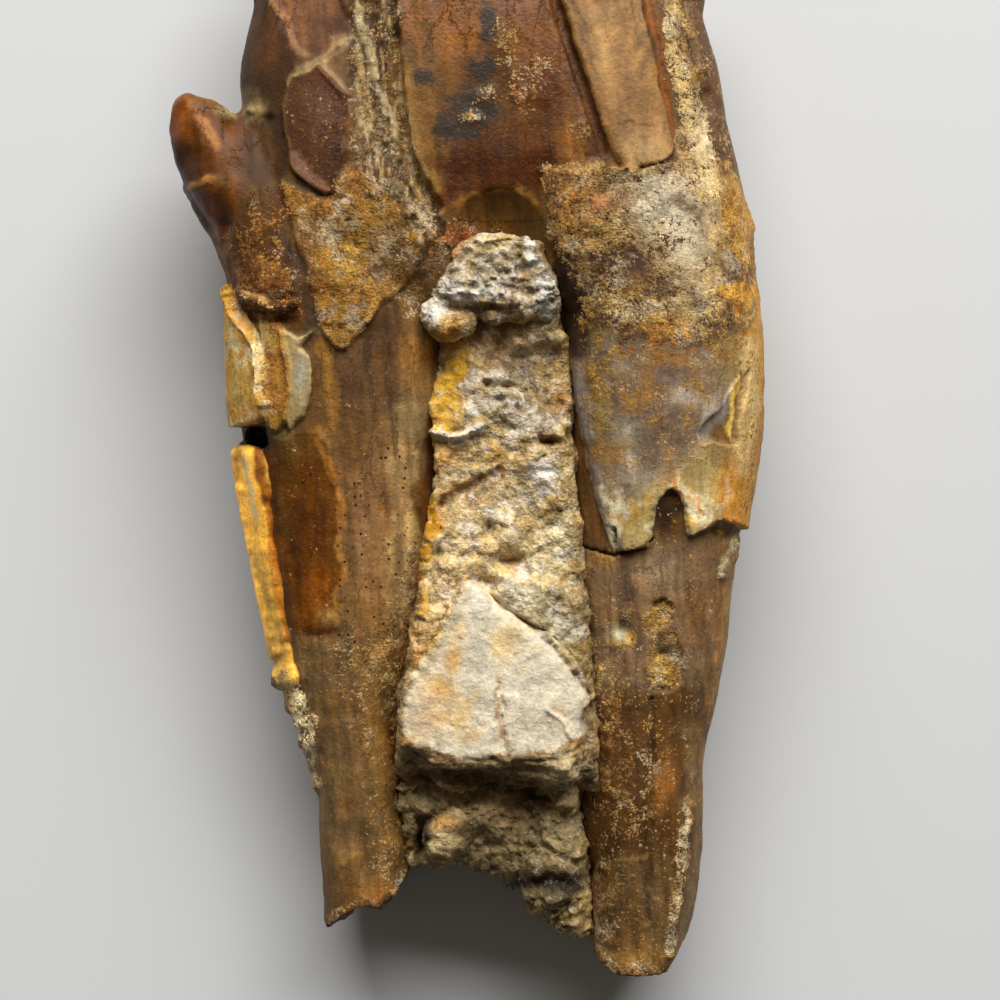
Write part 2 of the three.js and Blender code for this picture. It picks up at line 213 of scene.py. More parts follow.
def linear(colour):
    # from a colour as a screen shows it, where 255 is white; more than 255 is painted light, brighter than
    # any surface colour
    c = np.asarray(colour, float) / 255
    return np.where(c <= 0.04045, c / 12.92, ((c + 0.055) / 1.055) ** 2.4)


def coloured(uv, base, marks):
    return laid(uv, base, marks, linear, 0.9)


def blended(colours, colour, amount):
    return colours + (linear(colour) - colours) * amount[:, None]


def newPiece(name, work):
    mesh = bpy.data.meshes.new(name)
    work.to_mesh(mesh)
    work.free()
    piece = bpy.data.objects.new(name, mesh)
    bpy.context.scene.collection.objects.link(piece)
    return piece


def read(piece, source="vertices", field="co"):
    items = getattr(piece.data, source)
    flat = np.empty(len(items) * 3, np.float32)
    items.foreach_get(field, flat)
    return flat.reshape(-1, 3).astype(float)


def place(piece, points):
    piece.data.vertices.foreach_set("co", points.astype(np.float32).ravel())
    piece.data.update()


def settle(piece):
    # makes the modifiers' result the piece's own mesh
    graph = bpy.context.evaluated_depsgraph_get()
    done = bpy.data.meshes.new_from_object(piece.evaluated_get(graph))
    old = piece.data
    piece.modifiers.clear()
    piece.data = done
    done.name = piece.name
    bpy.data.meshes.remove(old)
    return piece


def joined(name, pieces):
    work = bmesh.new()
    for piece in pieces:
        work.from_mesh(piece.data)
        bpy.data.objects.remove(piece)
    return newPiece(name, work)


def remeshed(piece, size):
    voxels = piece.modifiers.new("voxels", "REMESH")
    voxels.mode = "VOXEL"
    voxels.voxel_size = size
    return settle(piece)


def cutAway(piece, cutter):
    boolean = piece.modifiers.new("cut", "BOOLEAN")
    boolean.object = cutter
    boolean.operation = "DIFFERENCE"
    boolean.solver = "MANIFOLD"
    settle(piece)
    bpy.data.objects.remove(cutter)
    return piece


def smoothed(piece, factor, times):
    smooth = piece.modifiers.new("smooth", "SMOOTH")
    smooth.factor = factor
    smooth.iterations = times
    return settle(piece)


def thinned(piece, most):
    triangles = sum(len(p.vertices) - 2 for p in piece.data.polygons)
    if triangles > most:
        fewer = piece.modifiers.new("thin", "DECIMATE")
        fewer.ratio = most / triangles
        settle(piece)
    return piece


def finished(piece, node=None):
    # to metres, smooth, on the model's one body
    place(piece, read(piece) * mm)
    piece.data.polygons.foreach_set("use_smooth", np.ones(len(piece.data.polygons), bool))
    piece.data.set_sharp_from_angle(angle=np.radians(75))
    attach(piece, "root")
    if node:
        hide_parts(node)
    return piece


def attribute(piece, name, values):
    layer = piece.data.attributes.new(name, "FLOAT", "POINT")
    layer.data.foreach_set("value", np.asarray(values, np.float32).ravel())


def tint(piece, name, colours):
    layer = piece.data.attributes.new(name, "FLOAT_COLOR", "POINT")
    full = np.concatenate([colours, np.ones((len(colours), 1))], 1)
    layer.data.foreach_set("color", full.astype(np.float32).ravel())


def prism(name, outline, low, high):
    work = bmesh.new()
    face = work.faces.new([work.verts.new((x, y, low)) for x, y in outline])
    grown = bmesh.ops.extrude_face_region(work, geom=[face])["geom"]
    tops = [g for g in grown if isinstance(g, bmesh.types.BMVert)]
    bmesh.ops.translate(work, verts=tops, vec=(0, 0, high - low))
    bmesh.ops.recalc_face_normals(work, faces=work.faces)
    return newPiece(name, work)


def ball(name, centre, radii):
    work = bmesh.new()
    bmesh.ops.create_uvsphere(work, u_segments=40, v_segments=24, radius=1)
    bmesh.ops.scale(work, verts=work.verts, vec=radii)
    bmesh.ops.translate(work, verts=work.verts, vec=centre)
    return newPiece(name, work)


def splined(rows, t):
    # a smooth curve through equally spaced rows, at each t from 0 to 1
    last = len(rows) - 1
    place = np.clip(t, 0, 1) * last
    i = np.minimum(place.astype(int), last - 1)
    f = (place - i)[:, None]
    p1, p2 = rows[i], rows[i + 1]
    p0 = np.where((i > 0)[:, None], rows[np.maximum(i - 1, 0)], 2 * p1 - p2)
    p3 = np.where((i < last - 1)[:, None], rows[np.minimum(i + 2, last)], 2 * p2 - p1)
    a, b = (p2 - p0) / 2, (p3 - p1) / 2
    return p1 + a * f + (3 * (p2 - p1) - 2 * a - b) * f**2 + (2 * (p1 - p2) + a + b) * f**3


def loft(name, stations, around, along, squareness, relief=None):
    # a closed body through stations of Y, left, right, front and back, from the crown's end to the roots' end
    work = bmesh.new()
    bmesh.ops.create_uvsphere(work, u_segments=around, v_segments=along, radius=1)
    piece = newPiece(name, work)
    p = read(piece)
    t = np.arccos(np.clip(p[:, 2], -1, 1)) / np.pi
    angle = np.arctan2(p[:, 1], p[:, 0])
    ring = (np.abs(p[:, 2]) < 0.999999).astype(float)
    y, left, right, front, back = splined(np.asarray(stations, float), t).T
    c, s = np.cos(angle), np.sin(angle)
    x = (left + right) / 2 + ring * (right - left) / 2 * np.sign(c) * np.abs(c) ** (2 / squareness)
    depth = (front - back) / 2
    if relief:
        depth = depth - relief(x, y)
    z = (front + back) / 2 + ring * depth * np.sign(s) * np.abs(s) ** (2 / squareness)
    place(piece, np.stack([x, y, z], 1))
    work = bmesh.new()
    work.from_mesh(piece.data)
    bmesh.ops.recalc_face_normals(work, faces=work.faces)
    work.to_mesh(piece.data)
    work.free()
    return piece


# The crown, roots and low cusp are given by stations: Y, left, right, front and back
toothForm = {
    "crown": [
        (51.0, -1.9, 0.1, 10.1, 8.3), (50.0, -2.7, 1.2, 10.9, 7.4), (47.8, -4.2, 2.8, 12.0, 6.2),
        (43.0, -6.6, 5.8, 13.4, 4.6), (35.0, -11.6, 11.4, 15.0, 2.8), (29.0, -16.0, 16.2, 16.1, 1.5),
        (22.2, -18.1, 18.8, 17.0, 0.5), (17.0, -18.2, 19.7, 17.5, 0.1), (12.6, -19.2, 20.9, 17.8, 0.0),
        (7.8, -19.7, 22.0, 17.5, 0.0), (3.0, -18.7, 22.0, 15.8, 1.2), (-2.0, -16.5, 20.0, 11.6, 4.8),
    ],
    "leftRoot": [
        (12.0, -18.0, -2.4, 16.6, 1.2), (7.8, -19.0, -1.4, 16.8, 0.6), (3.0, -19.0, -1.0, 16.7, 0.3),
        (-1.0, -18.7, -1.0, 16.2, 0.4), (-5.0, -18.8, -1.1, 15.6, 0.6), (-9.0, -18.3, -1.4, 15.0, 0.7),
        (-17.8, -16.8, -2.2, 13.7, 0.3), (-24.2, -15.5, -3.7, 12.9, 0.0), (-29.0, -14.2, -4.5, 12.3, 0.0),
        (-33.0, -12.9, -4.7, 11.8, 0.1), (-37.0, -12.2, -4.5, 11.4, 0.5), (-41.8, -12.1, -4.2, 11.0, 1.1),
        (-51.0, -11.3, -4.0, 10.6, 1.8),
    ],
    "rightRoot": [
        (12.0, 7.0, 20.0, 16.7, 1.2), (7.8, 6.6, 21.6, 17.0, 0.5), (3.0, 6.7, 22.5, 16.9, 0.3),
        (-1.0, 6.9, 22.9, 16.5, 0.5), (-5.0, 7.2, 23.0, 16.0, 0.6), (-9.0, 7.6, 22.8, 15.4, 0.6),
        (-15.0, 7.8, 21.8, 14.7, 0.3), (-19.4, 7.9, 21.1, 14.3, 0.1), (-24.2, 8.2, 20.6, 13.9, 0.0),
        (-29.0, 8.5, 19.7, 13.4, 0.0), (-33.8, 8.7, 18.6, 13.0, 0.0), (-38.6, 8.8, 18.7, 12.6, 0.2),
        (-42.6, 9.4, 18.5, 12.2, 0.7), (-47.4, 9.9, 17.7, 11.6, 1.4), (-54.0, 10.7, 16.0, 10.8, 2.4),
    ],
    "lowCusp": [
        (19.1, -23.4, -21.2, 11.4, 7.6), (18.9, -23.7, -20.6, 12.4, 6.8), (18.0, -23.9, -18.4, 13.6, 5.8),
        (15.0, -23.6, -14.6, 15.0, 4.8), (12.6, -23.1, -12.6, 15.8, 4.0), (9.8, -21.9, -11.0, 16.2, 3.2),
        (6.0, -19.9, -10.4, 15.8, 3.0), (1.5, -18.3, -10.4, 14.6, 4.0),
    ],
    "cusps": [  # foot X, Y, tip X, Y, width and depth
        (-10.6, 20.6, -15.6, 33.9, 10.8, 9.6), (-7.2, 31.0, -11.6, 42.4, 9.0, 7.2),
        (11.0, 20.0, 16.6, 33.0, 11.0, 9.4), (6.6, 31.0, 11.0, 42.0, 9.0, 7.2),
    ],
    "archway": [(-1.2, -4.0), (-1.0, 2.6), (0.0, 5.0), (2.4, 6.2), (5.4, 5.2), (6.8, 2.6), (7.0, -4.0)],
    "leftBreak": [
        (-14.0, -47.7), (-11.5, -47.4), (-9.9, -46.3), (-8.6, -45.5), (-7.1, -45.4), (-5.9, -44.6),
        (-5.1, -43.6), (-4.6, -42.0), (-2.0, -40.0), (-2.0, -58.0), (-14.0, -58.0),
    ],
    "rightBreak": [
        (7.3, -47.4), (8.9, -48.6), (10.5, -49.8), (11.7, -50.8), (13.7, -51.0), (15.9, -50.6),
        (17.2, -48.5), (20.0, -44.5), (20.0, -58.0), (7.3, -58.0),
    ],
    # balls that hollow it out: centre and radii
    "frontHollow": ((2.4, 3.0, 19.9), (5.3, 9.2, 6.2)), "backHollow": ((2.4, 2.0, -2.4), (5.3, 9.2, 6.2)),
    "leftCanal": ((-8.6, -46.2, 6.0), (1.9, 4.5, 2.6)), "rightCanal": ((13.2, -50.8, 6.2), (2.2, 4.0, 2.8)),
    "deepHollow": ((-17.1, -8.4, 13.4), (1.2, 1.3, 2.4)),
    "waist": {"depth": 0.9, "width": 5, "between": (6, 26)},
    "cuspZ": 9.2,  # the middle of the upper cusps' depth
    "front": (6.5, 8.5),  # the back turns into the front between these heights
    "sheathHeight": 0.65, "stripHeight": 0.55, "backHeight": 0.55, "facetDepth": 0.25, "dentDepth": 0.12,
    "rootsTo": (4, 10), "endFrom": (20, 30), "breaksFrom": (42.5, 44), "lightFrom": (0, 16),  # along Y
    # how edges wobble: size, amount and seed
    "ragged": (14, 1.6, 3), "crustEdge": (20, 5, 9), "backEdge": (20, 3, 31),
    "broadEdge": (26, 6, 61), "fineEdge": (7, 2, 67), "cloudEdge": (10, 5, 69),
    "bigGrains": (0.75, 21), "smallGrains": (0.42, 25), "someDots": 0.12,  # grains have a size and a seed
    # how many faces around and along, and how square
    "lofts": {
        "crown": (128, 150, 2.7), "leftRoot": (96, 150, 2.3), "rightRoot": (96, 150, 2.3),
        "lowCusp": (48, 48, 2.2), "cusps": (48, 40, 2.2),
    },
    "cut": (-5, 30), "firstVoxel": 0.3, "voxel": 0.17, "crownFrom": 8.6, "middle": 2.4, "triangles": 192000,
}

# Where the layers lie on the front
areas.update({
    "sheath": [
        (543, 168), (548, 205), (556, 270), (566, 310), (573, 400), (590, 480), (605, 530), (614, 551),
        (648, 548), (651, 537), (654, 515), (660, 500), (666, 492), (672, 489), (679, 494), (684, 507),
        (687, 537), (705, 529), (716, 518), (730, 524), (745, 531), (800, 540), (800, -160), (640, -150),
        (654, -120), (662, -84), (684, 0), (693, 60), (702, 110), (706, 140), (690, 152), (676, 162),
        (640, 170), (600, 166), (575, 172),
    ],
    "sheathLeftEdge": [
        (543, 168), (548, 205), (556, 270), (566, 310), (573, 400), (590, 480), (605, 530), (614, 551),
    ],
    "chip": [
        (742, 370), (730, 384), (719, 405), (701, 423), (696, 431), (700, 442), (710, 439), (718, 443),
        (731, 445), (733, 416), (739, 385),
    ],
    "slab": [
        (555, -60), (562, 0), (580, 60), (600, 115), (612, 150), (622, 171), (640, 168), (662, 162),
        (671, 157), (675, 146), (662, 100), (652, 50), (640, 0), (630, -60), (615, -112), (602, -142),
        (590, -150), (578, -128), (562, -104),
    ],
    "tongue": [
        (292, 80), (283, 107), (285, 134), (292, 153), (290, 164), (298, 176), (313, 189), (323, 195),
        (334, 193), (340, 172), (346, 153), (348, 96), (332, 77), (319, 65),
    ],
    "strip": [
        (215, 440), (262, 447), (270, 470), (273, 537), (278, 562), (284, 591), (287, 626), (295, 662),
        (301, 682), (285, 690), (206, 600),
    ],
    "flakeOuter": [
        (203, 282), (232, 284), (238, 302), (252, 322), (262, 346), (267, 374), (272, 403), (271, 415),
        (266, 422), (250, 426), (236, 428), (203, 430),
    ],
    "flakeInner": [
        (258, 314), (278, 316), (286, 330), (291, 356), (293, 390), (290, 418), (281, 432), (272, 428),
        (266, 400),
    ],
    "crescent": [
        (284, 330), (298, 338), (313, 330), (301, 346), (309, 356), (312, 372), (311, 394), (304, 415),
        (292, 430), (287, 420), (291, 385), (286, 350),
    ],
    "darkDentine": [
        (262, 436), (300, 428), (322, 432), (334, 452), (340, 486), (342, 566), (340, 603), (334, 628),
        (318, 630), (306, 634), (286, 640), (270, 580), (262, 500),
    ],
    "crustLeft": [
        (284, 180), (286, 203), (298, 249), (313, 287), (322, 330), (334, 348), (345, 350), (362, 332),
        (385, 302), (402, 290), (418, 268), (432, 240), (405, 190), (380, 160), (350, 165), (340, 180),
        (322, 200), (300, 190),
    ],
    "crustRight": [
        (543, 168), (546, 200), (552, 240), (560, 290), (585, 318), (620, 335), (660, 342), (700, 345),
        (735, 330), (752, 300), (752, 240), (735, 195), (722, 165), (712, 140), (703, 110), (692, 60),
        (682, 0), (676, -60), (650, -60), (658, 0), (664, 50), (673, 95), (680, 130), (679, 158),
        (640, 170), (600, 166),
    ],
    "facet": [
        (273, -20), (262, -64), (282, -78), (294, -60), (312, -66), (326, -20), (357, 29), (357, 46),
        (340, 44), (319, 59), (303, 54), (282, 27),
    ],
    "furrow": [
        (350, -60), (358, -120), (376, -176), (388, -150), (394, -80), (400, 60), (410, 140), (436, 200),
        (440, 250), (420, 240), (372, 175), (352, 100),
    ],
    "pits": [
        (655, 601), (664, 598), (674, 606), (674, 630), (682, 650), (684, 682), (672, 692), (654, 690),
        (648, 668), (652, 640), (646, 622),
    ],
    "creamEdge": [(598, 478), (640, 490), (700, 450), (725, 470), (722, 520), (690, 548), (606, 560)],
    "milky": [
        (582, 345), (612, 352), (660, 345), (712, 352), (722, 400), (700, 450), (640, 490), (604, 520),
        (590, 470),
    ],
    "hollow": [(230, 428), (268, 426), (270, 446), (262, 450), (248, 444), (234, 438)],
    "sheathOnBack": [
        (547, 188), (562, 312), (576, 450), (606, 510), (634, 495), (662, 542), (702, 557), (725, 528),
        (800, 535), (800, 160), (644, 200),
    ],
    "sideCusp": [(150, 80), (240, 90), (244, 180), (226, 250), (150, 250)],
    "besideTongue": [(350, 85), (392, 120), (400, 175), (352, 172)],
    "sheathFoot": [(600, 470), (745, 455), (735, 530), (690, 545), (605, 555)],
    "sandyBand": [(330, 640), (412, 640), (412, 900), (380, 880), (360, 760)],
    "rightRootFront": [(545, 545), (760, 545), (740, 1000), (545, 1000)],
    "bothRoots": [(200, 150), (790, 150), (790, 1010), (200, 1010)],
})
lines.update({
    "valley": [
        (384, -190), (392, -90), (388, -20), (391, 30), (397, 63), (399, 110), (405, 150), (420, 180),
        (436, 206),
    ],
    "slabTrough": [(540, -110), (548, -60), (556, 5), (574, 60), (590, 110), (604, 150)],
    "amberBand": [(640, -60), (648, -10), (656, 40), (665, 95), (676, 150)],
    "sheathCrack": [(583, 545), (600, 551), (615, 554), (643, 548), (652, 540)],
    "sheathSlit": [(615, 528), (616, 552)],
    "rootCrack": [(397, 414), (397, 440), (396, 462)],
    "amberLine": [(319, 428), (330, 458), (337, 486), (341, 540), (341, 600)],
    "rootGroove": [(652, 700), (650, 765), (648, 856), (646, 920)],
    "hairline": [(609, 556), (609, 600), (608, 658)],
    "cuspRidge": [(184, 190), (198, 184), (212, 177), (221, 181)],
    "crossA": [(290, 82), (304, 70), (319, 59), (340, 44), (352, 40)],
    "crossB": [(322, 66), (332, 80), (346, 96)],
    "vein": [(362, -130), (354, -60), (357, 15), (372, 63), (386, 107), (393, 138)],
    "lowVein": [(399, 184), (409, 203), (420, 216), (434, 232)],
    "crumbLine": [(689, 805), (683, 856), (677, 906), (670, 955)],
    "outerBand": [(664, -110), (676, -60), (690, -10), (703, 60), (714, 120), (726, 165)],
    "whiteRidge": [(737, 540), (733, 552), (724, 566), (721, 576)],
    "flakeRidge": [(234, 290), (240, 304), (252, 323), (262, 346), (267, 375), (271, 403)],
    "cuspFacet": [(188, 98), (198, 118), (212, 150), (214, 172)],
    "lumpLip": [(247, 289), (255, 298), (266, 302), (276, 310), (287, 308), (295, 303)],
})

# Heights on the front in millimetres
toothRelief = [
    ("slab", 1, 0.5), ("tongue", 1, 0.5), ("facet", 3, -0.3), (320, 140, 22, 44, 0.35),
    ("darkDentine", 6, 0.1), ("flakeOuter", 2.5, 0.7), ("flakeInner", 1.5, 0.4), ("crescent", 1.5, 0.42),
    ("crustLeft", 2, 0.2), ("pits", 2, -0.35), ("hollow", 1.5, -0.6), ("valley", 6, -1.1),
    ("slabTrough", 5, -0.35), ("amberBand", 4, -0.3), ("sheathCrack", 1.3, -0.5), ("sheathSlit", 1.4, -0.5),
    ("rootCrack", 1, -0.2), ("amberLine", 3, 0.1), ("rootGroove", 3.5, -0.3), ("hairline", 1.5, -0.12),
    ("cuspRidge", 4, 0.1), ("crossA", 4.5, 0.14), ("crossB", 4, 0.12), ("vein", 4.5, 0.2),
    ("lowVein", 4, 0.15), ("crumbLine", 4, 0.2), ("outerBand", 8, 0.12), ("whiteRidge", 4, 0.14),
    ("flakeRidge", 3, 0.3), (268, 284, 24, 22, 0.7), ("lumpLip", 5, 0.6), (276, 320, 16, 4, -0.5),
    (287, 680, 12, 15, 0.75), (297, 704, 11, 11, 0.6), (303, 722, 11, 8, 0.45), (306, 742, 12, 11, 0.65),
    (309, 763, 11, 9, 0.55), (314, 782, 9, 9, 0.4), (242, 345, 9, 40, 0.35),
    ("line", [(238, 450), (246, 500), (262, 580), (282, 650)], 6, 0.35), (237, 114, 9, 7, -0.7),
    (268, 119, 6, 4, -0.4), (250, 112, 7, 4, 0.3), (624, 630, 9, 9, -0.45), (720, 533, 8, 7, -0.8),
    (719, 533, 3.5, 3.5, 0.7), (664, 672, 13, 14, 0.3), (662, 655, 8, 4, -0.4), (665, 612, 9, 6, -0.2),
    (346, 853, 12, 6, 0.15), (590, 870, 10, 12, -0.35), (665, 790, 9, 25, 0.12), (400, 872, 8, 17, -0.35),
    (322, 634, 16, 5, -0.15), (330, 342, 8, 10, 0.15),
]

# How thickly crust lies on the front and behind, from 0 to 1
toothCrust = [
    ("rightRootFront", 20, 0.09), ("area", [(220, 430), (430, 330), (430, 1000), (300, 1000)], 20, 0.06),
    ("sandyBand", 12, 0.17), ("sheath", 3, 0.16), ("sheathFoot", 12, 0.08), ("crustRight", 4, 0.82),
    (726, 330, 34, 20, 0.4, 0.8), ("crustLeft", 3, 0.8),
    ("area", [(232, 238), (250, 204), (266, 214), (284, 190), (290, 250), (300, 315),
        (232, 315)], 14, 0.34),
    ("flakeOuter", 2, 0.12), ("flakeInner", 2, 0.3), ("besideTongue", 5, 0.36),
    ("area", [(400, 175), (438, 215), (445, 245), (436, 300), (412, 320), (395, 290)], 5, 0.45),
    ("furrow", 6, 0.3), ("lowVein", 5, 0.7, 0.9), (505, 42, 12, 16, 0.5), (484, 96, 10, 8, 0.5),
    (474, 118, 9, 8, 0.45), (522, 88, 16, 22, 0.4), (580, 130, 10, 8, 0.45), (545, 75, 12, 20, 0.25),
    (465, 238, 26, 12, 0.7), ("line", [(288, 225), (296, 262), (306, 300), (312, 326)], 7, 0.02, 0.9),
    (268, 285, 20, 26, 0.75), (634, 258, 28, 16, 0.12, 0.95), (598, 272, 22, 14, 0.26, 0.9),
    (672, 205, 30, 22, 0.95, 0.8), (656, 292, 16, 10, 0.3, 0.9), (690, 276, 24, 30, 0.92, 0.8),
    (600, 330, 30, 8, 0.25, 0.9), (570, 290, 14, 40, 0.1, 0.9), (640, 352, 40, 12, 0.4, 0.9),
    (596, 400, 11, 60, 0.55, 0.9), ("line", areas["sheathLeftEdge"][2:], 9, 0.0, 0.95),
    (560, 190, 10, 12, 0.35, 0.9), ("pits", 4, 0.9), (598, 676, 10, 38, 0.62), (628, 610, 6, 9, 0.6),
    (622, 645, 14, 5, 0.6), (612, 790, 28, 24, 0.4), ("crumbLine", 6, 0.8), ("whiteRidge", 6, 0.6),
    ("line", [(592, 570), (584, 640), (590, 700), (602, 760), (600, 800)], 7, 0.42, 0.9),
    ("line", [(414, 560), (406, 640), (400, 700), (403, 780)], 8, 0.56, 0.9),
    ("line", [(330, 922), (352, 908), (386, 900), (406, 872)], 5, 0.5, 0.8),
    ("line", [(600, 866), (590, 900), (594, 940), (612, 968), (650, 974)], 8, 0.62, 0.9),
    (598, 925, 13, 42, 0.8), (606, 725, 12, 40, 0.36), (648, 745, 8, 40, 0.3), (625, 812, 26, 18, 0.26),
    (378, 665, 26, 24, 0.72), (408, 610, 14, 40, 0.66), ("chip", 2, 0.0), ("slab", 2, 0.03),
    ("tongue", 2, 0.08), ("crescent", 1.5, 0.0), ("strip", 2, 0.05), ("outerBand", 6, 0.1),
    ("line", [(286, 676), (295, 703), (303, 722), (307, 742), (309, 763), (315, 784)], 9, 0.7),
]
backCrust = [
    ("area", [(540, 165), (800, 160), (800, 330), (650, 345), (560, 300)], 14, 0.75),
    ("area", [(180, 170), (420, 175), (400, 300), (300, 330), (200, 290)], 14, 0.6),
    ("area", [(540, 360), (800, 360), (740, 1000), (545, 1000)], 20, 0.3), (350, 600, 50, 70, 0.35),
    (640, 760, 30, 60, 0.5),
]

# Noise that roughens the tooth: height, size in millimetres, seed and octaves
toothGrain = {
    "all": [(0.16, (8, 15, 8), 1, 1), (0.07, (3, 6, 3), 2, 1), (0.02, 1.0, 3, 2)],
    "fibres": [(0.07, (1.2, 10, 1.2), 4, 2)], "rings": [(0.03, (6, 1.2, 6), 5, 2)],
    "top": [(0.16, (1.5, 14, 2.4), 47, 3), (0.2, 4.0, 49, 3)], "dents": [(1, 2.6, 51, 2)],
    "furrow": [(0.3, (0.9, 3.4, 0.9), 43, 3), (0.12, 0.7, 45, 2)],
    "cusp": [(0.3, 2.6, 7, 2)], "ends": [(0.25, 1.1, 41, 3)], "crust": [(0.26, 2.2, 27, 4)],
}


def crownWaist(x, y):
    # how far the crown's front and back draw in above the roots' fork
    waist = toothForm["waist"]
    across = np.exp(-(((x - toothForm["middle"]) / waist["width"]) ** 2))
    return waist["depth"] * across * (1 - ease(y, *waist["between"]))


def cuspStations(footX, footY, tipX, tipY, width, depth):
    rows = []
    for t in (1, 0.96, 0.85, 0.6, 0.3, 0):
        size = 0.92 * (1 - t**1.6) ** 0.8 + 0.08
        x = footX + (tipX - footX) * t
        y = footY + (tipY - footY) * t
        half = width / 2 * size
        deep = depth / 2 * size
        rows.append((y, x - half, x + half, toothForm["cuspZ"] + deep, toothForm["cuspZ"] - deep))
    return rows


def toothBlank(form):
    # the crown, roots and cusps as one smooth body, with its broken ends cut
    crown = loft("crownBlank", form["crown"], *form["lofts"]["crown"], crownWaist)
    cutAway(crown, prism("archCut", form["archway"], *form["cut"]))
    parts = [crown]
    for name in ("leftRoot", "rightRoot", "lowCusp"):
        parts.append(loft(name + "Blank", form[name], *form["lofts"][name]))
    for row in form["cusps"]:
        parts.append(loft("cuspBlank", cuspStations(*row), *form["lofts"]["cusps"]))
    piece = remeshed(joined("fossilTooth", parts), form["firstVoxel"])
    for name in ("frontHollow", "backHollow"):
        cutAway(piece, ball(name, *form[name]))
    smoothed(piece, 0.5, 6)
    for name in ("leftBreak", "rightBreak"):
        cutAway(piece, prism(name, form[name], *form["cut"]))
    for name in ("leftCanal", "rightCanal", "deepHollow"):
        cutAway(piece, ball(name, *form[name]))
    return smoothed(remeshed(piece, form["voxel"]), 0.5, 2)


def layers(uv, front):
    # signed distance into whichever raised layer is nearest, in squares: on the front, then behind
    shown = np.full(len(uv), -30.0)
    for name in ("sheath", "slab", "tongue", "strip", "flakeOuter", "flakeInner", "crescent"):
        shown = np.maximum(shown, inside(uv, areas[name]))
    shown = np.minimum(shown, -inside(uv, areas["chip"]))
    hidden = inside(uv, areas["sheathOnBack"])
    return np.where(front > 0.5, shown, hidden)


def crustOn(uv, front):
    shown = laid(uv, 0.02, toothCrust)[:, 0]
    hidden = laid(uv, 0.05, backCrust)[:, 0]
    return hidden + (shown - hidden) * front


def layerSteps(uv, ragged):
    # the sheath and the strip, bevelled at their edges, with everything else that is raised or sunk in front
    bevel = ease(distanceTo(ragged, areas["sheathLeftEdge"]), 0, 11)
    step = toothForm["sheathHeight"] * ease(inside(ragged, areas["sheath"]), -0.8, 1.4) * (0.3 + 0.7 * bevel)
    step = step * (1 - ease(inside(ragged, areas["chip"]), -1.5, 1.0))
    strip = inside(ragged, areas["strip"])
    step += toothForm["stripHeight"] * ease(strip, -0.6, 1.4) * (0.6 + 0.4 * ease(strip, 0, 9))
    return step + raised(ragged, toothRelief)


def sculpted(piece):
    p = read(piece)
    n = read(piece, "vertex_normals", "vector")
    front = ease(p[:, 2], *toothForm["front"])
    uv = seen(p)
    ragged = wobbled(uv, *toothForm["ragged"])
    crust = crustOn(wobbled(uv, *toothForm["crustEdge"]), front)
    roots = 1 - ease(p[:, 1], *toothForm["rootsTo"])
    height = rough(p, toothGrain["all"])
    cusp = front * share(uv, "area", areas["sideCusp"], 8)
    facet = ease(distanceTo(ragged, lines["cuspFacet"]), 0, 16)
    height += cusp * (rough(p, toothGrain["cusp"]) - toothForm["facetDepth"] * facet)
    height += rough(p, toothGrain["fibres"], roots)
    height += rough(p, toothGrain["rings"], roots)
    top = ease(p[:, 1], *toothForm["endFrom"])
    dents = ease(rough(p, toothGrain["dents"]), 0.5, 0.8)
    height += top * (rough(p, toothGrain["top"]) - toothForm["dentDepth"] * dents)
    behind = ease(inside(wobbled(uv, *toothForm["backEdge"]), areas["sheathOnBack"]), -1, 2)
    behind = toothForm["backHeight"] * behind
    height += front * layerSteps(uv, ragged) + (1 - front) * behind
    height += front * share(ragged, "area", areas["furrow"], 5) * rough(p, toothGrain["furrow"])
    grain, _ = pebbles(p, *toothForm["bigGrains"])
    fine, _ = pebbles(p, *toothForm["smallGrains"])
    crumbHeight = 0.05 + 0.14 * (1 - grain) + 0.12 * (1 - fine)
    height += crust * (crumbHeight + rough(p, toothGrain["crust"]))
    ends = ease(-p[:, 1], *toothForm["breaksFrom"]) * ease(-n[:, 1], 0.3, 0.7)
    height += ends * (rough(p, toothGrain["ends"]) - 0.1)
    flat = ease(p[:, 2] + n[:, 2], 0.2, 1.2)  # nothing grows below the table
    place(piece, p + n * (height * (0.3 + 0.7 * flat))[:, None])
    return piece


def copied(piece, name):
    copy = piece.copy()
    copy.data = piece.data.copy()
    copy.name = name
    bpy.context.scene.collection.objects.link(copy)
    return copy


def slabCutter(name, left, right, low, high):
    return prism(name, [(left, low), (right, low), (right, high), (left, high)], -20, 40)


def divided(piece, form):
    # crown and roots apart, because each is finer than one piece may be
    side, end = 40, 70
    high, middle = form["crownFrom"], form["middle"]
    crown = cutAway(copied(piece, "crown"), slabCutter("below", -side, side, -end, high))
    roots = cutAway(piece, slabCutter("above", -side, side, high, end))
    leftRoot = cutAway(copied(roots, "leftRoot"), slabCutter("right", middle, side, -end, end))
    rightRoot = cutAway(roots, slabCutter("left", -side, middle, -end, end))
    rightRoot.name = "rightRoot"
    return [thinned(part, form["triangles"]) for part in (crown, leftRoot, rightRoot)]


tooth = sculpted(toothBlank(toothForm))
print("tooth sculpted:", len(tooth.data.vertices), "points")
toothPieces = divided(tooth, toothForm)
print("tooth divided:", [len(piece.data.polygons) for piece in toothPieces], "faces")


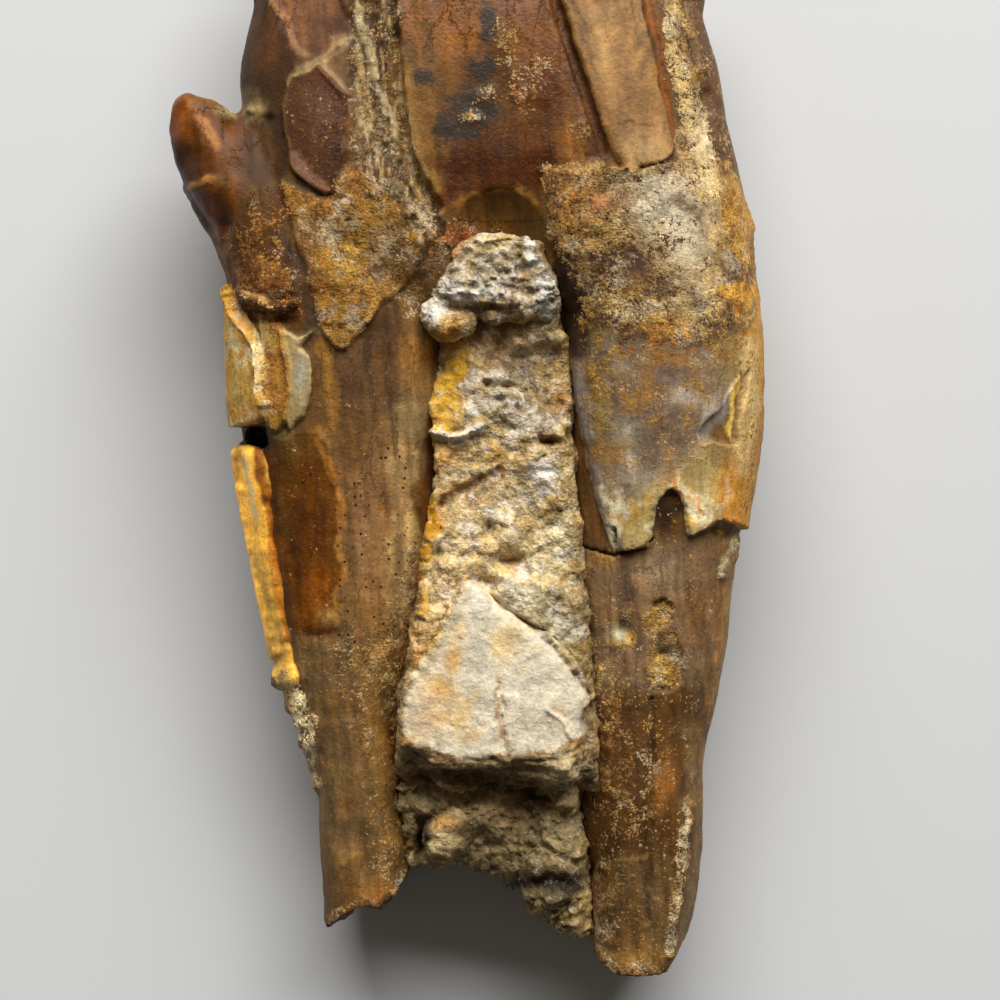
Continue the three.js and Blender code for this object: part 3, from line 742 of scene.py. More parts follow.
# Colours on the front: under the raised layers, on them, and in the crust
toothTints = {
    "under": [
        ("bothRoots", 25, (112, 83, 54), 1),
        ("area", [(398, -80), (404, 60), (412, 120), (424, 165), (440, 202), (470, 215), (545, 208),
            (560, 168), (600, 166), (592, 120), (575, 60), (556, -80)], 6, (122, 84, 48), 1),
        (424, 130, 20, 70, (144, 106, 62), 0.85), (440, 20, 26, 40, (134, 92, 56), 0.7),
        (520, 25, 45, 40, (127, 78, 37), 0.8), (455, 45, 14, 20, (165, 108, 50), 0.6),
        # the second spot on the next line darkens the right edge of the crown's middle: partly its dark brown
        # enamel, partly painted shade
        (520, 100, 28, 30, (120, 80, 43), 0.8), (548, 90, 22, 46, (106, 56, 16), 0.85),
        (540, 128, 20, 18, (98, 58, 26), 0.8), (572, 142, 16, 22, (164, 110, 60)),
        # the spot on the next line and the area after it darken the lower end of the crown's middle: partly
        # its mahogany enamel, partly painted shade
        (500, 142, 50, 20, (90, 50, 18), 0.85),
        ("area", [(436, 160), (470, 150), (545, 148), (562, 168), (545, 204), (500, 196), (462, 204),
            (444, 196)], 9, (78, 40, 10), 0.95),
        (505, 217, 42, 16, (114, 82, 34), 0.95), (450, 200, 14, 10, (110, 60, 25), 0.7),
        ("line", [(445, 212), (465, 200), (500, 193), (530, 199), (542, 206)], 2, (150, 112, 62), 0.6),
        # slabTrough, second on the next line, darkens the trough left of the slab: partly its dark amber,
        # partly painted shade
        (465, 238, 26, 12, (140, 84, 46), 0.8), ("slabTrough", 9, (92, 54, 24), 0.85),
        ("amberBand", 5, (150, 92, 34), 0.95),
        ("area", [(236, -80), (273, -80), (278, 19), (294, 44), (303, 61), (286, 80), (282, 107),
            (290, 134), (284, 180), (262, 186), (236, 160), (228, 115), (240, 90)], 2.5, (84, 56, 32), 1),
        (245, 40, 7, 80, (92, 62, 34), 0.6), (262, 14, 10, 16, (84, 52, 22), 0.7),
        (262, 90, 14, 22, (68, 47, 34), 0.6), ("facet", 1.5, (132, 92, 78), 1),
        ("line", [(277, 2), (290, 34), (302, 52)], 4, (184, 138, 112), 0.7),
        (343, 30, 10, 14, (94, 62, 44)), (305, 25, 10, 22, (160, 114, 90), 0.6),
        ("area", [(300, 56), (357, 44), (350, 100), (345, 100), (318, 62), (290, 84)], 3, (134, 102, 84)),
        ("crossA", 6, (196, 172, 150), 0.8), ("crossB", 5, (176, 150, 128), 0.6),
        ("area", [(349, 40), (372, 40), (398, 90), (404, 150), (398, 178),
            (352, 160)], 3, (98, 78, 60), 0.95),
        (360, 112, 9, 24, (180, 152, 118), 0.85), (369, 144, 8, 9, (196, 180, 156), 0.8),
        ("vein", 4.5, (212, 196, 172)),
        ("line", [(371, 100), (380, 126), (390, 152)], 3, (92, 70, 48), 0.8),
        (384, 168, 9, 7, (165, 104, 58), 0.8), (374, 172, 20, 8, (110, 74, 42), 0.6),
        ("valley", 7, (150, 122, 86), 0.8), (396, 5, 6, 40, (60, 44, 30), 0.8),
        ("line", [(404, 60), (410, 110), (418, 152), (434, 186)], 4, (152, 120, 74), 0.8),
        ("line", [(428, 18), (434, 40), (437, 62)], 3, (84, 76, 70), 0.7),
        ("area", [(352, 170), (400, 180), (436, 214), (445, 245), (436, 300), (412, 325), (395, 300),
            (400, 250)], 6, (116, 88, 62), 0.95),
        ("lowVein", 4, (206, 186, 156)), (404, 268, 8, 12, (84, 62, 46), 0.8),
        ("line", [(438, 205), (444, 225), (446, 245)], 3.5, (48, 26, 16)),
        ("area", [(222, 225), (250, 196), (284, 186), (286, 203), (298, 249), (318, 300), (300, 325),
            (245, 325), (228, 290)], 12, (84, 52, 14), 0.95),
        (262, 208, 18, 26, (104, 70, 30), 0.7), (270, 165, 16, 26, (88, 62, 40), 0.8),
        ("line", [(284, 232), (296, 262), (306, 300), (312, 326)], 8, (78, 60, 50)),
        (252, 110, 11, 8, (206, 190, 170), 0.85), (250, 92, 7, 8, (150, 124, 100), 0.7),
        (269, 119, 7, 4, (46, 32, 24)),
        ("area", [(160, 85), (222, 88), (240, 118), (246, 150), (238, 190), (226, 250),
            (160, 240)], 5, (98, 56, 9), 1),
        (181, 120, 13, 24, (148, 82, 1), 0.95), (205, 99, 20, 7, (140, 92, 34), 0.8),
        # Painted highlights: the pale line down the cusp's slope and the first spot on the line after it;
        # painted shade: the second spot there, on the cusp's lower left
        ("line", [(192, 106), (203, 124), (214, 148)], 6, (176, 118, 64), 0.8),
        (220, 150, 8, 7, (150, 108, 66), 0.6), (182, 164, 12, 22, (66, 28, 6), 0.95),
        # painted highlight: the first spot on the next line, the near-white glint in the notch between the
        # cusp and the crown
        (226, 112, 8, 5, (226, 214, 190)), (204, 208, 22, 22, (88, 36, 2), 0.95),
        (230, 175, 14, 30, (112, 74, 32), 0.7), ("cuspRidge", 3, (196, 142, 80), 0.7),
        (315, 338, 9, 14, (84, 68, 56), 0.95),
        ("area", [(326, 346), (345, 352), (391, 303), (402, 320), (400, 420),
            (330, 420)], 7, (90, 64, 46), 0.95),
        (380, 322, 13, 16, (76, 54, 42)), (356, 450, 20, 17, (84, 60, 36), 0.8),
        ("line", [(318, 345), (327, 380), (330, 425)], 8, (134, 96, 48), 0.8),
        (418, 358, 14, 26, (158, 116, 66)), (412, 418, 15, 26, (150, 130, 102)),
        ("darkDentine", 7, (96, 56, 6), 1), (318, 590, 14, 30, (150, 82, 8), 0.8),
        (285, 500, 10, 40, (104, 70, 14), 0.7), (306, 520, 20, 40, (74, 40, 4), 0.8),
        (300, 450, 24, 12, (106, 82, 42), 0.8), (330, 612, 10, 9, (164, 132, 84), 0.8),
        # painted shadow: the first spot on the next line, under the small ledge at the dark dentine's lower
        # end
        (322, 634, 18, 4, (62, 40, 20), 0.7), ("amberLine", 4, (160, 110, 50), 0.75),
        (366, 530, 20, 90, (140, 104, 76), 0.85), (384, 560, 16, 40, (160, 124, 88), 0.6),
        (352, 500, 12, 26, (126, 90, 66), 0.6),
        ("line", [(404, 452), (402, 520), (394, 610)], 12, (166, 136, 104), 0.8),
        ("line", [(430, 400), (425, 480), (421, 520)], 4, (112, 70, 34)),
        ("line", [(412, 520), (411, 600), (404, 650)], 9, (208, 176, 128), 0.85),
        ("area", [(262, 650), (330, 636), (385, 650), (400, 690), (402, 780), (408, 830), (318, 875),
            (308, 760)], 10, (120, 94, 68)),
        ("line", [(345, 640), (350, 720), (358, 800)], 16, (112, 88, 66), 0.6),
        ("line", [(312, 690), (318, 770), (325, 850)], 7, (124, 102, 80), 0.7),
        ("line", [(376, 700), (386, 770), (400, 835)], 13, (152, 114, 66), 0.8),
        (378, 665, 22, 22, (140, 112, 70), 0.85),
        # painted shade: the dark line on the next line, down the gap between the left root and the rock
        ("line", [(397, 690), (398, 735), (402, 780)], 8, (62, 34, 14), 0.95),
        (352, 780, 26, 18, (134, 108, 74), 0.7), (352, 828, 30, 12, (94, 72, 50), 0.85),
        (346, 853, 13, 6, (182, 142, 84)), (322, 850, 8, 12, (120, 88, 40), 0.7),
        (365, 890, 32, 22, (126, 94, 58), 0.8), (398, 872, 8, 16, (98, 78, 54)),
        (380, 894, 12, 7, (140, 92, 40), 0.8), (362, 913, 20, 6, (48, 28, 12)),
        ("line", [(585, 440), (590, 500), (598, 545)], 18, (112, 78, 48)),
        # painted shade: the dark line on the next line, along the sheath's left-facing bevel
        ("line", [(565, 250), (571, 320), (573, 380)], 10, (44, 28, 24), 0.95),
        ("area", [(578, 552), (740, 540), (725, 650), (690, 690), (600, 690),
            (578, 640)], 12, (126, 104, 90)),
        (604, 560, 18, 8, (156, 118, 62), 0.8), (628, 590, 14, 20, (88, 66, 60), 0.85),
        (656, 574, 16, 15, (142, 126, 120), 0.8), (700, 555, 22, 18, (118, 92, 76), 0.8),
        (640, 640, 16, 20, (104, 78, 64), 0.6), (700, 612, 20, 30, (132, 92, 56), 0.8),
        ("line", [(738, 560), (726, 640), (712, 730), (706, 820)], 7, (140, 112, 74), 0.85),
        ("line", [(727, 545), (722, 600), (712, 660)], 4, (150, 100, 48), 0.7),
        (620, 634, 8, 8, (214, 210, 204), 1), (631, 638, 4, 6, (200, 150, 60)),
        (618, 645, 8, 3, (200, 156, 80)), (624, 622, 4, 3, (44, 32, 24)), ("pits", 4, (108, 74, 30)),
        ("area", [(585, 700), (700, 690), (695, 860), (590, 850)], 14, (88, 58, 24), 0.85),
        (640, 835, 44, 36, (80, 52, 20), 0.7), (666, 786, 9, 27, (142, 92, 42), 0.95),
        (658, 806, 5, 7, (180, 118, 40), 0.7), ("rootGroove", 4, (82, 60, 38), 0.8),
        (692, 770, 8, 60, (128, 108, 86), 0.8),
        ("line", [(700, 800), (697, 870), (684, 930)], 7, (116, 94, 68), 0.85),
        (640, 828, 22, 20, (84, 58, 28), 0.8), (625, 878, 22, 24, (106, 84, 64), 0.75),
        (595, 872, 9, 12, (88, 58, 24)), (655, 905, 7, 34, (118, 100, 82), 0.7),
        (612, 915, 22, 20, (82, 62, 40), 0.8), (645, 930, 20, 14, (80, 62, 38), 0.8),
        (640, 955, 30, 9, (146, 112, 68), 0.8), (638, 972, 30, 5, (44, 28, 14)),
        (620, 832, 22, 5, (80, 52, 26), 0.7), ("line", [(614, 854), (644, 855)], 2, (158, 126, 80), 0.6),
        ("outerBand", 9, (126, 96, 78), 1),
        ("line", [(682, -40), (697, 30), (708, 80)], 3, (172, 148, 122), 0.8),
        # painted shade: the first spot on the next line paints the floor of the notch in the sheath nearly
        # black
        (668, 516, 16, 26, (44, 20, 2), 1), (678, 525, 5, 9, (110, 70, 28), 0.7),
        ("line", [(698, 432), (708, 420), (722, 402), (734, 382)], 9, (176, 168, 184), 1),
        (704, 437, 6, 6, (176, 168, 164), 0.8),
        ("line", [(727, 436), (732, 410), (740, 378)], 4.5, (252, 216, 132), 0.95),
        (720, 534, 9, 7, (84, 62, 30)), (719, 533, 4, 4, (196, 150, 76)),
        # painted shadow: the hollow, last on the next line, nearly black under the outer flake
        ("whiteRidge", 4, (206, 190, 156), 0.7), ("hollow", 2, (16, 7, 3), 1),
        (256, 474, 9, 16, (150, 84, 30), 0.7), (240, 462, 7, 20, (96, 66, 38), 0.8),
        (285, 434, 14, 6, (170, 150, 112), 0.7),
        ("line", [(326, 928), (350, 915), (376, 911), (394, 898), (410, 872)], 6, (58, 42, 24), 0.85),
        ("line", [(584, 948), (600, 970), (640, 980), (670, 972)], 6, (66, 50, 32), 0.75),
        ("line", [(322, 800), (398, 800)], 9, (112, 88, 58), 0.5),
        # the last spot on the next line darkens the same gap between the left root and the rock: painted
        # shade
        ("line", [(326, 822), (404, 826)], 5, (92, 70, 46), 0.6), (392, 730, 8, 50, (84, 58, 26), 0.7),
    ],
    "over": [
        ("sheath", 6, (152, 128, 90), 1), ("crustRight", 6, (100, 74, 60), 1),
        # painted shade: the second spot on the next line, below the crust's lower edge
        (624, 264, 40, 26, (84, 56, 44)), (650, 330, 50, 16, (92, 62, 46), 0.8),
        ("outerBand", 11, (116, 84, 60), 1),
        ("line", [(678, -40), (693, 30), (704, 80)], 3, (150, 122, 92), 0.8),
        ("line", [(700, -10), (712, 60), (722, 120), (732, 165)], 3, (110, 82, 60), 0.8),
        (645, 395, 48, 52, (118, 104, 100), 0.95), (600, 400, 12, 60, (140, 118, 72), 0.8),
        (640, 432, 30, 26, (152, 142, 142), 0.8), (612, 350, 24, 16, (128, 116, 116), 0.8),
        (690, 360, 30, 20, (112, 88, 74), 0.7), (640, 474, 26, 24, (168, 158, 148), 0.85),
        ("creamEdge", 8, (176, 156, 112), 0.95), (636, 488, 16, 12, (176, 168, 156), 0.8),
        (640, 525, 14, 14, (186, 168, 118)), (705, 485, 14, 26, (190, 172, 126)),
        (690, 468, 14, 14, (168, 142, 88), 0.8), (700, 505, 9, 14, (214, 198, 158), 0.8),
        ("line", [(752, 300), (754, 400), (747, 470), (738, 530)], 15, (214, 158, 70), 0.95),
        ("line", [(748, 346), (750, 390), (747, 430), (740, 468)], 10, (230, 200, 150)),
        (728, 495, 12, 30, (232, 156, 52), 0.95),
        ("line", [(766, 380), (760, 470), (750, 530)], 4, (176, 122, 60), 0.8),
        (655, 430, 12, 10, (170, 120, 56), 0.7), (690, 400, 16, 8, (168, 110, 48), 0.7),
        (668, 470, 8, 22, (190, 140, 64), 0.7), (620, 440, 14, 14, (176, 146, 76), 0.6),
        (616, 495, 5, 8, (206, 158, 52), 0.8), (632, 510, 5, 16, (208, 170, 72), 0.6),
        (648, 500, 6, 12, (204, 160, 60), 0.8), (694, 520, 8, 6, (216, 178, 84), 0.8),
        (690, 490, 8, 6, (196, 144, 60), 0.7), (640, 470, 16, 10, (158, 146, 138), 0.7),
        ("line", [(576, 372), (582, 420), (592, 480), (606, 530), (614, 551)], 11, (142, 132, 136), 0.95),
        # painted shade: the dark line and spot on the next two lines, along the sheath's left-facing bevel
        ("line", [(558, 225), (570, 290), (580, 350)], 12, (56, 38, 30), 0.95),
        (578, 312, 10, 26, (64, 42, 30), 0.95),
        ("line", [(722, 170), (742, 215), (752, 260)], 9, (192, 140, 66)),
        ("line", [(728, 165), (748, 215), (760, 260)], 4, (206, 166, 104), 0.8),
        ("slab", 3, (168, 126, 80), 1), (642, 148, 26, 15, (184, 152, 114)),
        (628, 100, 9, 26, (150, 104, 64), 0.7),
        ("line", [(606, 126), (630, 122), (652, 127)], 1.5, (120, 82, 50), 0.8),
        (600, 60, 10, 50, (182, 146, 100), 0.6),
        ("line", [(570, -20), (590, 60), (612, 128), (622, 165)], 4, (140, 98, 56), 0.8),
        # the pink line on the next line, at the tongue's lower end, is partly its pink colour and partly a
        # painted sheen
        ("tongue", 3, (96, 60, 40), 1), ("line", [(296, 160), (306, 178), (322, 190)], 8, (164, 122, 110)),
        (312, 100, 18, 24, (108, 70, 48), 0.6),
        ("line", [(338, 100), (336, 150), (330, 185)], 5, (82, 50, 32), 0.7),
        # painted light: the strip's colour goes above white, so that its left-facing side looks lit
        ("strip", 3, (318, 246, 112), 1),
        ("line", [(258, 452), (263, 480), (268, 500)], 7, (150, 84, 26), 0.95),
        ("line", [(268, 500), (272, 560), (284, 640)], 3.5, (190, 112, 34)),
        # painted highlight: the cream line on the next line, down the strip's top
        ("line", [(244, 458), (250, 490), (256, 520)], 2.5, (255, 238, 196)),
        (238, 456, 5, 16, (132, 92, 48), 0.8),
        ("line", [(262, 560), (272, 610), (284, 670)], 9, (222, 172, 84), 0.8),
        (272, 650, 12, 20, (214, 176, 106), 0.8),
        ("line", [(272, 500), (276, 560), (288, 640)], 3, (196, 112, 30), 0.8),
        # the second spot on the next line, on the outer flake's bulge, is partly its cream colour and partly
        # a painted highlight
        ("flakeOuter", 3, (216, 172, 78), 1), (244, 350, 9, 26, (246, 214, 130)),
        (238, 308, 8, 16, (206, 130, 40)), (248, 322, 5, 10, (206, 112, 28), 0.8),
        ("line", lines["flakeRidge"][1:], 2.5, (232, 212, 160), 0.8),
        (240, 385, 8, 10, (206, 176, 96), 0.8), (252, 372, 8, 6, (200, 140, 50), 0.7),
        (262, 400, 6, 10, (212, 176, 110), 0.7), (250, 412, 10, 7, (206, 136, 44), 0.8),
        ("flakeInner", 2, (184, 140, 60), 1), (268, 336, 9, 14, (212, 180, 116), 0.85),
        ("line", [(266, 355), (276, 356), (286, 353)], 3, (140, 84, 24), 0.8),
        (284, 390, 7, 16, (196, 132, 54), 0.7), ("crescent", 1.5, (178, 156, 116), 1),
        (302, 374, 8, 24, (176, 172, 170), 0.95),
        ("line", [(309, 350), (313, 372), (312, 400)], 1.8, (216, 196, 150), 0.8),
    ],
    "crust": [
        ("rightRootFront", 20, (176, 136, 76), 1), ("sheath", 3, (186, 144, 66), 1),
        (620, 220, 90, 60, (198, 164, 92), 0.8), (575, 205, 34, 26, (190, 130, 46)),
        (600, 195, 10, 14, (196, 118, 40), 0.8), (585, 180, 24, 8, (160, 128, 84), 0.7),
        (672, 205, 40, 30, (212, 202, 176), 0.95), (636, 205, 24, 18, (190, 182, 158), 0.85),
        (684, 250, 26, 34, (228, 216, 184), 0.95), (606, 300, 24, 22, (204, 176, 118)),
        (634, 266, 22, 22, (116, 80, 58)), (598, 268, 16, 16, (124, 84, 54), 0.8),
        (618, 283, 6, 4, (232, 226, 214)), (700, 310, 26, 22, (214, 190, 134)),
        ("line", [(738, 200), (745, 250), (738, 300)], 16, (230, 172, 62), 0.95),
        ("line", [(668, -60), (678, 60), (694, 130), (710, 190)], 12, (240, 208, 134)),
        (705, 140, 14, 30, (232, 214, 170)), (668, 350, 60, 20, (176, 116, 48), 0.85),
        (655, 430, 46, 40, (196, 144, 56)), (600, 400, 14, 60, (186, 150, 66)),
        ("sheathFoot", 12, (200, 156, 64)), ("crustLeft", 3, (173, 124, 42), 1),
        (340, 185, 26, 12, (160, 108, 46), 0.7), (385, 260, 16, 36, (172, 142, 90), 0.8),
        (350, 255, 14, 30, (200, 158, 66), 0.8), (312, 245, 10, 26, (150, 104, 48), 0.7),
        ("area", [(225, 195), (284, 180), (290, 250), (300, 315), (232, 315)], 12, (166, 110, 30), 0.95),
        ("lumpLip", 5, (222, 180, 112)), (264, 290, 14, 7, (120, 64, 20), 0.8),
        ("vein", 6, (220, 204, 176)), ("besideTongue", 5, (160, 128, 92)), ("lowVein", 6, (216, 196, 164)),
        (465, 238, 26, 12, (184, 92, 46), 0.95), (480, 80, 60, 60, (206, 170, 96)),
        (522, 88, 16, 22, (206, 156, 108)), ("flakeOuter", 2, (214, 178, 104), 1),
        ("flakeInner", 2, (190, 128, 52), 1), ("strip", 2, (226, 188, 108), 1),
        # painted light: the first spot on the next line makes the crust on the beads along the left root's
        # edge brighter than white, so that their left-facing side looks lit
        (302, 730, 20, 64, (326, 308, 250), 1), ("sandyBand", 12, (198, 152, 84)),
        (378, 665, 26, 24, (196, 166, 104)), (408, 600, 12, 44, (206, 180, 140)),
        ("pits", 4, (196, 156, 72), 1), (666, 674, 12, 12, (228, 176, 60)),
        (660, 640, 10, 14, (206, 186, 142), 0.7), ("crumbLine", 6, (216, 200, 160), 0.95),
        ("whiteRidge", 6, (222, 212, 186), 0.95), (598, 676, 10, 38, (204, 170, 104)),
        (598, 925, 16, 44, (176, 150, 108)),
    ],
}
# On the crown's end, in front and behind
tipTints = [
    (490, -120, 70, 60, (120, 78, 44)), (480, -240, 46, 60, (92, 56, 30), 0.95),
    (472, -300, 20, 16, (164, 118, 70)), (320, -80, 30, 26, (150, 104, 58), 0.8),
    (276, -100, 16, 14, (176, 130, 80)), (326, -196, 18, 16, (170, 122, 72)),
    (676, -96, 16, 14, (180, 136, 86)), (604, -196, 18, 16, (168, 120, 70)),
    (400, -160, 30, 40, (86, 58, 38), 0.8), (540, -170, 26, 50, (146, 102, 60), 0.8),
    ("line", [(430, -80), (440, -150), (452, -230)], 4, (66, 44, 28), 0.7),
    ("line", [(510, -60), (500, -140), (486, -250)], 3, (160, 122, 80), 0.7),
]
# On the back
backTints = {
    "under": [
        ("bothRoots", 25, (110, 82, 54), 1), (490, 60, 60, 90, (138, 96, 54)),
        (330, 60, 60, 90, (104, 74, 50)), (640, 40, 50, 110, (150, 112, 70)),
        (480, 170, 70, 24, (78, 46, 20)), (330, 520, 30, 90, (128, 96, 62), 0.8),
        (370, 760, 24, 60, (104, 78, 54), 0.8), (640, 620, 30, 60, (120, 94, 72), 0.8),
        (650, 800, 14, 50, (144, 98, 52), 0.8), (195, 140, 20, 40, (140, 84, 36)),
        (210, 210, 24, 30, (80, 46, 22)),
    ],
    "over": [
        ("sheathOnBack", 6, (158, 132, 92), 1), (650, 400, 60, 60, (126, 106, 92)),
        (660, 500, 60, 30, (200, 184, 140)), (740, 420, 20, 90, (196, 150, 84)),
    ],
    "crust": [
        (640, 240, 90, 60, (206, 176, 112)), (700, 210, 40, 40, (216, 200, 162), 0.8),
        (310, 240, 90, 60, (196, 150, 74)), (260, 450, 40, 90, (206, 164, 86), 0.8),
    ],
}
# How much of each colour is left in the shade of the roots' end, and in the crown's brighter light
toothTones = {
    "under": ((0.98, 0.9, 0.58), (0.64, 0.56, 0.32)),
    "over": ((0.9, 0.84, 0.62), (0.64, 0.6, 0.44)),
    "crust": ((0.8, 0.75, 0.64), (0.66, 0.62, 0.6)),
}

# Stains laid over the marks, and the noise that breaks them up
toothStains = {
    "bases": {"under": (114, 82, 52), "over": (150, 118, 76), "crust": (186, 146, 84)},
    "streaks": [(0.34, (6, 50, 1), 101, 3)], "veins": [(1, (3, 30, 1), 105, 3)],
    "breaks": [(0.6, 3.4, 107, 3)],
    "crust": [(0.3, 1.9, 111, 3)], "enamel": [(0.34, (3.2, 60, 1), 121, 3), (0.22, (9, 26, 1), 123, 2)],
    "paleVein": (226, 208, 184), "darkVein": (58, 42, 26), "worn": (108, 76, 56), "ochre": (168, 120, 50),
    "underMilk": (142, 128, 126), "milk": (190, 182, 186), "violet": (112, 90, 84),
    "white": (244, 236, 218), "gold": (206, 134, 30),
}

# Where black clouds, painted shade in the sheath's notch, a clean coat, black dots and a polish lie
toothFinishes = {
    "cloudAndShade": [
        (488, 25, 11, 26, 1.0), (484, 68, 20, 13, 1.0), (474, 108, 28, 22, 1.0), (452, 130, 26, 12, 0.8),
        (425, 77, 12, 9, 0.85), (318, 238, 9, 9, 0.7), (500, 150, 24, 10, 0.5), (392, 160, 10, 20, 0.5),
        # the three marks on the next line darken the notch in the sheath: painted shade
        (660, 508, 7, 5, 0.8), (675, 510, 3, 3, 0.9), (657, 518, 3, 2, 0.8),
    ],
    "coat": [
        (684, 240, 44, 62, 0.9), (704, 150, 16, 40, 0.8),
        ("line", [(666, -60), (676, 60), (690, 120)], 8, 0.5), ("milky", 12, 0.6), ("slab", 3, 0.8),
        ("crustLeft", 3, 0.35), ("creamEdge", 8, 0.8),
        ("line", [(744, 366), (742, 420), (738, 470)], 7, 0.8), ("crescent", 1.5, 0.9),
        (246, 350, 14, 40, 0.6), ("strip", 3, 0.4), ("line", [(698, 432), (708, 420), (722, 402)], 9, 1),
    ],
    "dots": [("area", [(335, 470), (415, 420), (412, 650), (330, 660)], 14, 1), (300, 500, 22, 60, 0.8)],
    "gloss": [
        ("area", [(398, -80), (404, 60), (424, 165), (440, 235), (545, 225), (545, 168), (600, 166),
            (556, -80)], 6, 0.8),
        ("tongue", 3, 0.6), ("slab", 3, 0.45),
        ("area", [(160, 85), (246, 90), (240, 240), (160, 240)], 5, 0.4), ("crescent", 2, 0.7),
        ("darkDentine", 3, 0.4),
    ],
}


def streaked(uv, colours):
    # long streaks down the crown and roots, and broken pale veins in the furrow left of the crown's middle
    flat = np.concatenate([uv, np.zeros((len(uv), 1))], 1)
    slant = flat + np.stack([-0.12 * uv[:, 1], 0 * uv[:, 1], 0 * uv[:, 1]], 1)
    colours = colours * (1 + rough(slant, toothStains["streaks"]))[:, None]
    furrow = share(wobbled(uv, 12, 3, 103), "area", areas["furrow"], 5)
    broken = rough(slant, toothStains["veins"]) + rough(flat, toothStains["breaks"])
    colours = blended(colours, toothStains["paleVein"], 0.9 * furrow * ease(broken, 0.0, 0.6))
    return blended(colours, toothStains["darkVein"], 0.75 * furrow * ease(-broken, 0.1, 0.7))


def mottled(points, uv, colours, name):
    # white and golden stains on the pale layers, and worn violet-brown places in the crust
    if name == "crust":
        colours = colours * (1 + rough(points, toothStains["crust"]))[:, None]
        worn = ease(noise(points, 2.6, 113, 3), 0.3, 0.8)
        return blended(colours, toothStains["worn"], 0.75 * worn)
    flat = np.stack([uv[:, 0] - 0.22 * uv[:, 1], uv[:, 1], 0 * uv[:, 0]], 1)
    enamel = share(uv, "area", areas["slab"], 3)
    colours = colours * (1 + enamel * rough(flat, toothStains["enamel"]))[:, None]
    low = share(uv, "area", areas["milky"], 12)
    turns = noise(points, 2.4, 119, 3)
    colours = blended(colours, toothStains["underMilk"], 0.5 * low)
    colours = blended(colours, toothStains["milk"], 0.75 * low * ease(turns, 0.0, 0.7))
    colours = blended(colours, toothStains["violet"], 0.6 * low * ease(-turns, 0.1, 0.7))
    stained = ease(noise(points, 1.9, 125, 3), 0.25, 0.8)
    colours = blended(colours, toothStains["ochre"], 0.6 * low * stained)
    flake = 0.8 * share(uv, "area", areas["flakeOuter"], 3)
    pale = np.maximum(share(uv, "area", areas["creamEdge"], 8), flake)
    bent = points + 0.8 * np.stack([noise(points, 1.4, seed, 2) for seed in (131, 133, 135)], 1)
    white = pale * ease(noise(bent, 2.0, 115, 3), 0.0, 0.5)
    gold = pale * ease(noise(bent, 1.6, 117, 3), 0.25, 0.75)
    colours = blended(colours, toothStains["white"], 0.75 * white)
    return blended(colours, toothStains["gold"], 0.85 * gold)


def toothColours(piece):
    p = read(piece)
    uv = seen(p)
    front = ease(p[:, 2], *toothForm["front"])
    ragged = wobbled(uv, *toothForm["ragged"])
    loose = wobbled(wobbled(uv, *toothForm["broadEdge"]), *toothForm["fineEdge"])
    high = ease(p[:, 1], *toothForm["lightFrom"])[:, None]
    for name, base in toothStains["bases"].items():
        low, top = toothTones[name]
        tone = np.asarray(low) + (np.asarray(top) - low) * high
        tips = tipTints if name == "under" else []
        shown = coloured(ragged if name == "over" else loose, base, toothTints[name] + tips)
        hidden = coloured(loose, base, backTints[name] + tips)
        shown = streaked(uv, shown) if name == "under" else mottled(p, loose, shown, name)
        tint(piece, "tint" + name.title(), (hidden + (shown - hidden) * front[:, None]) * tone)
    attribute(piece, "over", layers(ragged, front))
    attribute(piece, "crust", crustOn(wobbled(uv, *toothForm["crustEdge"]), front))
    cloudy = wobbled(uv, *toothForm["cloudEdge"])
    attribute(piece, "cloudAndShade", laid(cloudy, 0, toothFinishes["cloudAndShade"])[:, 0] * front)
    attribute(piece, "coat", laid(loose, 0, toothFinishes["coat"])[:, 0] * front)
    attribute(piece, "dots", laid(uv, toothForm["someDots"], toothFinishes["dots"])[:, 0])
    backGloss = 0.6 * ease(p[:, 1], 8, 12) * (1 - front)
    attribute(piece, "gloss", laid(uv, 0, toothFinishes["gloss"])[:, 0] * front + backGloss)


for piece in toothPieces:
    toothColours(piece)
    finished(piece, "tooth")
print("tooth painted")


rockForm = {
    "front": (6.0, 8.0),  # the back turns into the front between these heights
    "lumps": [
        ((-1.3, 1.2, 15.0), (1.5, 1.2, 1.3)), ((-0.3, 3.4, 15.0), (1.5, 1.7, 1.4)),
        ((2.6, 2.7, 14.8), (2.7, 1.3, 1.3)),
    ],
    "swell": 0.42, "firstVoxel": 0.3, "voxel": 0.16, "triangles": 190000, "lowest": 0.6,
    "edge": (12, 2.4, 71), "broadEdge": (26, 7, 93), "fineEdge": (7, 2.6, 97),  # size, amount and seed
    "blocks": (1.25, 75), "facets": (0.6, 79),  # the sizes and seeds of its crystals
    "besideLift": 0.95, "sandLift": 1.7, "rootDip": 2.8,
}

